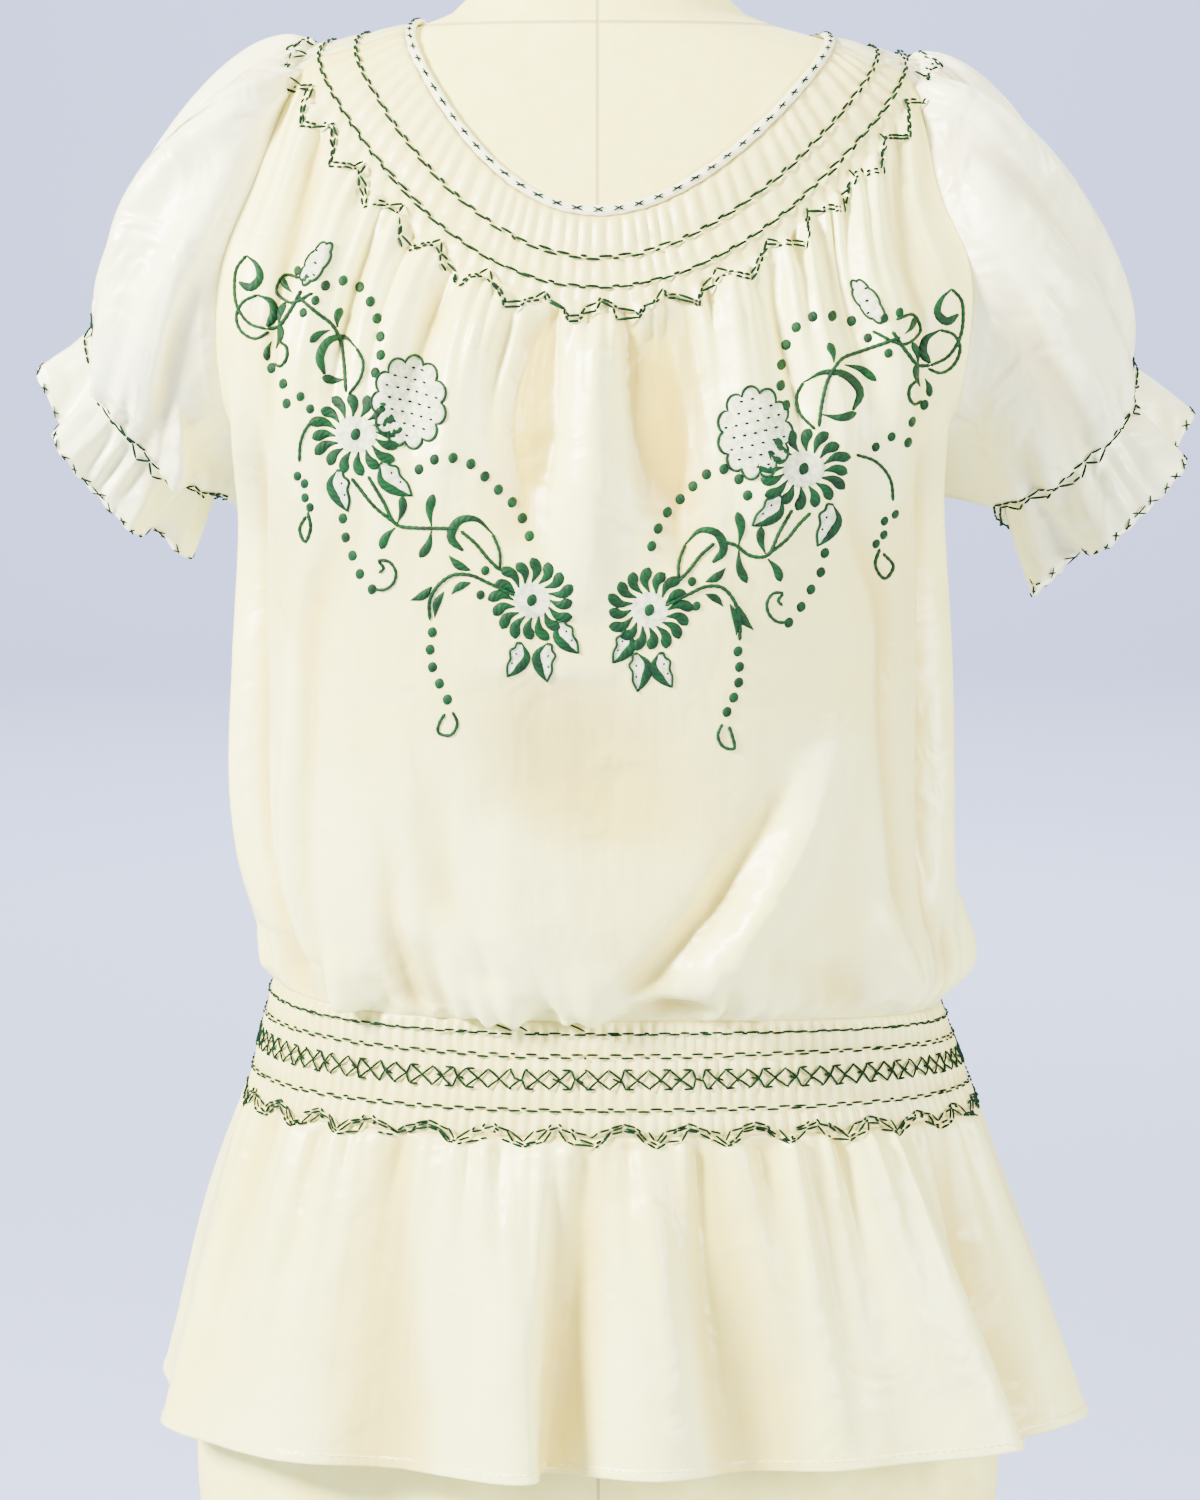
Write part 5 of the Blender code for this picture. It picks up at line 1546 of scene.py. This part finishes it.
    def work(self):
        for daisy in DAISIES:
            self.daisy(**daisy)
        for flower in SCALLOPS:
            self.scalloped(**flower)
        for stem in STEMS:
            self.line(stem)
        for line in THIN_LINES:
            self.line(line, 0.72 * MM)
        for crescent in CRESCENTS:
            curve = through(self.place(flat_points(crescent)), 17)
            self.stroke("green", curve, profile(MOON, 17) * 2.0 * MM, SATIN_HEIGHT)
        for shape, leaves in ((DROP, LEAVES), (SPEAR, SPEARS)):
            for number, leaf in enumerate(leaves):
                root, tip = self.place(flat_points([(leaf["x"], leaf["z"]), (leaf["tip_x"], leaf["tip_z"])]))
                bend = (0.10 if number % 2 else -0.10) * self.flip
                self.shape("green", root, tip, leaf["half"] * MM, shape, bend)
        for paisley in PAISLEYS:
            self.paisley(**paisley)
        for _, knots, count in DOT_ROWS:
            for place in through(self.place(flat_points(knots)), count):
                self.dot(place, 2.05 * MM, placed=True)
        for place in LONE_DOTS:
            self.dot(place, 1.85 * MM)


def embroider(name, shapes, cloth, finish):
    """One mesh of stitched shapes, each ring of points set on the cloth and lifted off it."""
    flat = np.concatenate([rings.reshape(-1, 3) for rings, _, _ in shapes])
    lifts = np.concatenate([lifts.ravel() for _, lifts, _ in shapes])
    measures = np.concatenate([measures.reshape(-1, 2) for _, _, measures in shapes])
    seated, normals = cloth.from_front(flat[:, [0, 2]])
    corners, first = [], 0
    for rings, _, _ in shapes:
        rows, sides = rings.shape[:2]
        block = normals[first : first + rows * sides].reshape(rows, sides, 3)
        block[:] = unit(block.mean(axis=(0, 1)) + block.mean(axis=1, keepdims=True))
        for row in range(rows - 1):
            for side in range(sides):
                a = first + row * sides + side
                b = first + row * sides + (side + 1) % sides
                corners.append((a, b, b + sides, a + sides))
        corners.append(tuple(first + side for side in range(sides))[::-1])
        corners.append(tuple(first + (rows - 1) * sides + side for side in range(sides)))
        first += rows * sides
    points = seated + normals * lifts[:, None]
    mesh = bpy.data.meshes.new(name)
    mesh.from_pydata(points.tolist(), [], corners)
    made = bpy.data.objects.new(name, mesh)
    bpy.context.scene.collection.objects.link(made)
    layer = mesh.uv_layers.new(name="thread")
    order = np.empty(len(mesh.loops), np.int32)
    mesh.loops.foreach_get("vertex_index", order)
    layer.data.foreach_set("uv", measures[order].astype(np.float32).ravel())
    select_only(made)
    bpy.ops.object.mode_set(mode="EDIT")
    bpy.ops.mesh.select_all(action="SELECT")
    bpy.ops.mesh.normals_make_consistent(inside=False)
    bpy.ops.object.mode_set(mode="OBJECT")
    bpy.ops.object.shade_smooth()
    mesh.materials.append(finish)
    return own(made, None, "satin")


# Materials


def shade(colour, strength=1.0):
    """An sRGB colour (0 to 255) as a linear colour."""
    parts = [((value / 255) / 12.92 if value < 10 else ((value / 255 + 0.055) / 1.055) ** 2.4) for value in colour]
    return (*(part * strength for part in parts), 1.0)


class Finish:
    """A material under way: its nodes, and short ways to add and join them."""

    def __init__(self, name, roughness, **settings):
        self.material = bpy.data.materials.new(name)
        self.material.use_nodes = True
        self.nodes = self.material.node_tree.nodes
        self.links = self.material.node_tree.links
        self.surface = self.nodes["Principled BSDF"]
        self.surface.inputs["Roughness"].default_value = roughness
        for socket, value in settings.items():
            self.surface.inputs[socket.replace("_", " ")].default_value = value
        self.places = self.nodes.new("ShaderNodeTexCoord")

    def add(self, kind, settings=None, **inputs):
        node = self.nodes.new(kind)
        for name, value in (settings or {}).items():
            setattr(node, name, value)
        for name, value in inputs.items():
            socket = node.inputs[name.replace("_", " ")]
            if isinstance(value, bpy.types.NodeSocket):
                self.links.new(value, socket)
            else:
                socket.default_value = value
        return node

    def noise(self, scale, detail=2.0, where="Object", **inputs):
        place = self.places.outputs[where]
        return self.add("ShaderNodeTexNoise", None, Vector=place, Scale=scale, Detail=detail, **inputs).outputs["Fac"]

    def blend(self, share, first, second):
        mix = self.add("ShaderNodeMix", {"data_type": "RGBA"})
        self.join(share, mix.inputs[0])
        self.join(first, mix.inputs[6])
        self.join(second, mix.inputs[7])
        return mix.outputs[2]

    def join(self, value, socket):
        if isinstance(value, bpy.types.NodeSocket):
            self.links.new(value, socket)
        else:
            socket.default_value = value

    def spread(self, value, low, high, to_low=0.0, to_high=1.0):
        node = self.add("ShaderNodeMapRange", None)
        self.join(value, node.inputs[0])
        for socket, number in zip(node.inputs[1:5], (low, high, to_low, to_high)):
            socket.default_value = number
        return node.outputs[0]

    def bump(self, height, strength, distance, before=None):
        node = self.add("ShaderNodeBump", None, Strength=strength, Distance=distance, Height=height)
        if before is not None:
            self.links.new(before, node.inputs["Normal"])
        return node.outputs["Normal"]

    def done(self, colour, normal=None, roughness=None):
        self.join(colour, self.surface.inputs["Base Color"])
        if normal is not None:
            self.links.new(normal, self.surface.inputs["Normal"])
        if roughness is not None:
            self.links.new(roughness, self.surface.inputs["Roughness"])
        return self.material


def satin_cloth(name, light, painted_shade_colour, deep, crinkle):
    """Ivory satin, a little crinkled, with painted shade: darker and warmer in fold troughs and where it lies near the
    form, paler on ridges and where it stands off it.
    """
    made = Finish(
        name, 0.34, Sheen_Weight=0.12, Sheen_Roughness=0.4, Anisotropic=0.4, Subsurface_Weight=0.06,
        Subsurface_Scale=0.004, Specular_IOR_Level=0.62,
    )
    made.surface.inputs["Subsurface Radius"].default_value = (1.0, 0.9, 0.7)
    # The painted shade share from the cloth's attribute mixes the light colour toward the painted shade colour.
    near = made.add("ShaderNodeAttribute", {"attribute_name": "painted_shade"}).outputs["Fac"]
    patch = made.noise(9.0, 3.0)
    shade_part = made.spread(near, 0.28, 0.95)
    colour = made.blend(shade_part, shade(light), shade(painted_shade_colour))
    colour = made.blend(made.spread(patch, 0.42, 0.72, 0.0, 0.45), colour, shade(deep))
    warp = made.add("ShaderNodeTexWave", {"wave_type": "BANDS", "bands_direction": "X"},
                    Vector=made.places.outputs["UV"], Scale=1 / 0.0012, Distortion=1.4, Detail=1.0)
    weft = made.add("ShaderNodeTexWave", {"wave_type": "BANDS", "bands_direction": "Y"},
                    Vector=made.places.outputs["UV"], Scale=1 / 0.0022, Distortion=1.0, Detail=1.0)
    normal = made.bump(warp.outputs["Fac"], 0.16, 0.00012)
    normal = made.bump(weft.outputs["Fac"], 0.10, 0.0001, normal)
    normal = made.bump(made.noise(80.0, 3.0), 0.5, 0.0008, normal)
    drawn = made.add("ShaderNodeMapping", None, Vector=made.places.outputs["UV"], Scale=(1.0, 0.22, 1.0))
    gathered = made.add("ShaderNodeTexNoise", None, Vector=drawn.outputs["Vector"], Scale=110.0, Detail=2.5)
    normal = made.bump(gathered.outputs["Fac"], 0.6, 0.0016, normal)
    normal = made.bump(made.noise(30.0, 2.0, Distortion=0.8), 0.7, crinkle, normal)
    rough = made.spread(made.noise(26.0, 2.0), 0.3, 0.7, 0.28, 0.4)
    return made.done(colour, normal, rough)


def thread_finish(name, light, dark, roughness=0.55, sheen=0.06):
    """Twisted cotton thread, darker and lighter along its length."""
    made = Finish(name, roughness, Sheen_Weight=sheen, Sheen_Roughness=0.4, Specular_IOR_Level=0.12)
    colour = made.blend(made.spread(made.noise(420.0, 2.0), 0.35, 0.65), shade(light), shade(dark))
    normal = made.bump(made.noise(1400.0, 1.0), 0.3, 0.0002)
    return made.done(colour, normal)


def satin_stitch(name, light, dark):
    """Embroidery floss laid side by side, across each shape, painted darker in the grooves between its strands: painted
    shade.
    """
    made = Finish(name, 0.62, Specular_IOR_Level=0.16)
    strands = made.add("ShaderNodeTexWave", {"wave_type": "BANDS", "bands_direction": "DIAGONAL"},
                       Vector=made.places.outputs["UV"], Scale=1 / 0.0042, Distortion=1.2, Detail=1.5)
    tone = made.blend(made.spread(made.noise(160.0, 3.0), 0.35, 0.7), shade(light), shade(dark))
    # Painted shade: the floss is painted darker where the strand bands sink, in the grooves between strands.
    colour = made.blend(made.spread(strands.outputs["Fac"], 0.0, 0.5, 0.35, 0.0), tone, shade(dark, 0.6))
    return made.done(colour, made.bump(strands.outputs["Fac"], 0.7, 0.0002))


NECK_SEAM = 0.854


def linen_finish():
    """The form's cover of pale linen, seamed down its middle and round its neck."""
    made = Finish("form_linen", 0.8, Sheen_Weight=0.2, Sheen_Roughness=0.6, Specular_IOR_Level=0.3)
    slub = made.noise(90.0, 4.0)
    place = made.add("ShaderNodeSeparateXYZ", None, Vector=made.places.outputs["Object"]).outputs
    seams = []
    for axis, middle in (("X", 0.0), ("Z", NECK_SEAM)):
        away = made.add("ShaderNodeMath", {"operation": "SUBTRACT"})
        made.join(place[axis], away.inputs[0])
        away.inputs[1].default_value = middle
        away = made.add("ShaderNodeMath", {"operation": "ABSOLUTE"}, Value=away.outputs[0])
        seams.append(made.spread(away.outputs[0], 0.00035, 0.0009))
    colour = made.blend(made.spread(slub, 0.35, 0.7), shade((250, 242, 140)), shade((242, 232, 122)))
    warp = made.add("ShaderNodeTexWave", {"wave_type": "BANDS", "bands_direction": "X"},
                    Vector=made.places.outputs["Object"], Scale=420.0, Distortion=1.5, Detail=1.0)
    weft = made.add("ShaderNodeTexWave", {"wave_type": "BANDS", "bands_direction": "Z"},
                    Vector=made.places.outputs["Object"], Scale=420.0, Distortion=1.5, Detail=1.0)
    normal = made.bump(warp.outputs["Fac"], 0.25, 0.0002)
    normal = made.bump(weft.outputs["Fac"], 0.25, 0.0002, normal)
    for seam in seams:
        colour = made.blend(seam, shade((196, 178, 116)), colour)
        normal = made.bump(seam, 0.6, 0.0006, normal)
    return made.done(colour, normal)


def stand_finish():
    made = Finish("stand_black", 0.42, Specular_IOR_Level=0.5, Metallic=0.25)
    colour = made.blend(made.spread(made.noise(30.0, 3.0), 0.4, 0.7), shade((26, 26, 28)), shade((48, 47, 46)))
    normal = made.bump(made.noise(900.0, 2.0), 0.12, 0.0003)
    return made.done(colour, normal, made.spread(made.noise(18.0, 3.0), 0.3, 0.7, 0.34, 0.55))


def studio_finish(name, colour):
    made = Finish(name, 0.9, Specular_IOR_Level=0.15)
    tone = made.blend(made.spread(made.noise(0.8, 2.0), 0.3, 0.7), shade(colour), shade([value - 3 for value in colour]))
    return made.done(tone, made.bump(made.noise(240.0, 2.0), 0.05, 0.0005))


# Studio

CAMERA_PLACE = (0.0, -1.8, 0.777)
CAMERA_TILT = 7.56
CAMERA_LENS = 98.18
CAMERA_SHIFT = 2 / 1500
BACKDROP = (182, 192, 230)


def floor_and_backdrop():
    """A pale floor that sweeps up into a backdrop."""
    bpy.ops.object.select_all(action="DESELECT")
    bpy.ops.mesh.primitive_plane_add(size=1, location=(0, 0, 0))
    made = bpy.context.object
    made.name = "studio_floor"
    bpy.ops.transform.resize(value=(16, 10, 1))
    bpy.ops.object.mode_set(mode="EDIT")
    bpy.ops.mesh.select_all(action="DESELECT")
    bpy.ops.object.mode_set(mode="OBJECT")
    bpy.ops.object.transform_apply(location=True, scale=True)
    far = max(vertex.co.y for vertex in made.data.vertices)
    for edge in made.data.edges:
        edge.select = all(made.data.vertices[index].co.y > far - 0.001 for index in edge.vertices)
    for vertex in made.data.vertices:
        vertex.select = vertex.co.y > far - 0.001
    bpy.ops.object.mode_set(mode="EDIT")
    bpy.ops.mesh.select_mode(type="EDGE")
    for step in range(12):
        angle = math.radians(90 * (step + 0.5) / 12)
        bpy.ops.mesh.extrude_region_move(
            TRANSFORM_OT_translate={"value": (0, 0.25 * math.cos(angle), 0.25 * math.sin(angle))}
        )
    bpy.ops.mesh.extrude_region_move(TRANSFORM_OT_translate={"value": (0, 0, 3.4)})
    bpy.ops.mesh.select_all(action="SELECT")
    bpy.ops.mesh.normals_make_consistent(inside=False)
    bpy.ops.object.mode_set(mode="OBJECT")
    bpy.ops.object.shade_smooth()
    made.data.materials.append(studio_finish("studio_paper", BACKDROP))


def soft_light(name, place, aim, size, power, colour=(1, 1, 1)):
    light = bpy.data.lights.new(name, "AREA")
    light.shape = "RECTANGLE"
    light.size, light.size_y = size
    light.energy = power
    light.color = colour
    lamp = bpy.data.objects.new(name, light)
    bpy.context.scene.collection.objects.link(lamp)
    lamp.location = place
    lamp.rotation_euler = (Vector(aim) - Vector(place)).to_track_quat("-Z", "Y").to_euler()


def studio():
    world = bpy.data.worlds.new("studio_air")
    world.use_nodes = True
    world.node_tree.nodes["Background"].inputs["Color"].default_value = (1.0, 0.985, 0.95, 1.0)
    world.node_tree.nodes["Background"].inputs["Strength"].default_value = 0.2
    bpy.context.scene.world = world
    soft_light("key", (-1.9, -1.15, 1.75), (0, 0, 0.55), (0.5, 0.6), 430, (1.0, 0.985, 0.95))
    soft_light("fill", (1.9, -1.5, 1.1), (0, 0, 0.55), (0.8, 1.0), 150, (1.0, 0.985, 0.93))
    soft_light("top", (0.1, -0.1, 2.5), (0, 0, 0.6), (1.2, 1.0), 40)
    soft_light("behind", (1.0, 2.6, 1.8), (0, 0, 0.6), (1.4, 1.4), 45)
    soft_light("backdrop", (0.0, 2.6, 3.2), (0, 6.4, 0.6), (4.0, 1.4), 480)
    camera = bpy.data.objects.new("camera", bpy.data.cameras.new("camera"))
    bpy.context.scene.collection.objects.link(camera)
    camera.location = CAMERA_PLACE
    camera.rotation_euler = (math.radians(90 - CAMERA_TILT), 0, 0)
    camera.data.lens = CAMERA_LENS
    camera.data.sensor_width = 36
    camera.data.shift_x = CAMERA_SHIFT
    bpy.context.scene.camera = camera


# Making

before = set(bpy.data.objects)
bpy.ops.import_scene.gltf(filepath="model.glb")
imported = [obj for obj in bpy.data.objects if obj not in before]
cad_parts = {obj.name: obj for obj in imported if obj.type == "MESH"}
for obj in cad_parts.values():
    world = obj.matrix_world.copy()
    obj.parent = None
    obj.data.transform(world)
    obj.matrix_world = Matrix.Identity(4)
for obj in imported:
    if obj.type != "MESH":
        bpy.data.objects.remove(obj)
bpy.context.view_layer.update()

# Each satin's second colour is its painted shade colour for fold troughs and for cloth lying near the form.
satin = satin_cloth("satin", (255, 252, 164), (212, 184, 64), (246, 232, 108), 0.0042)
# The sleeves' satin is the bodice's cloth painted paler and less yellow: a painted highlight.
satin_painted_pale = satin_cloth("satin_painted_pale", (252, 251, 204), (194, 178, 98), (240, 234, 158), 0.011)
edge_satin = satin_cloth("edge_satin", (254, 250, 204), (250, 240, 176), (252, 245, 190), 0.0008)
stitch_thread = thread_finish("stitch_thread", (0, 44, 20), (0, 20, 10), 0.75, 0.0)
white_thread = thread_finish("hem_thread", (248, 244, 228), (226, 220, 196))
linen = linen_finish()

studio()
floor_and_backdrop()

front = make_bodice("front", satin)
back = make_bodice("back", satin)
band = make_waistband(satin)
hems = {face: make_peplum(face, satin) for face in ("front", "back")}
sleeves = {side: make_sleeve(side, satin_painted_pale) for side in ("left", "right")}
binding = make_binding(edge_satin)
make_form(linen)
stand = stand_finish()
for node in ("form_pole", "form_base"):
    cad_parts[node].material_slots[0].material = stand

body = Cloth([front, back, band, hems["front"], hems["back"], *sleeves.values()])
neck_stitching(body, stitch_thread)
binding_stitching(Cloth([binding]), stitch_thread)
waist_stitching(body, stitch_thread)
for side in ("left", "right"):
    cuff_stitching(side, Cloth([sleeves[side]]), stitch_thread)
    flounce_stitching(side, Cloth([sleeves[side]]), stitch_thread)
for face in ("front", "back"):
    hem_stitching(face, Cloth([hems[face]]), white_thread)

flower_threads = {
    "green": satin_stitch("flower_green", (0, 58, 22), (0, 30, 10)),
    "white": thread_finish("flower_white", (222, 226, 186), (176, 184, 146), 0.6),
    "dark": thread_finish("flower_dark", (14, 30, 26), (6, 16, 14), 0.75, 0.0),
}
chest = Cloth([front, *sleeves.values()])
for side in ("left", "right"):
    spray = Spray(side)
    spray.work()
    for thread, shapes in spray.threads.items():
        embroider(f"spray_{side}_{thread}", shapes, chest, flower_threads[thread])
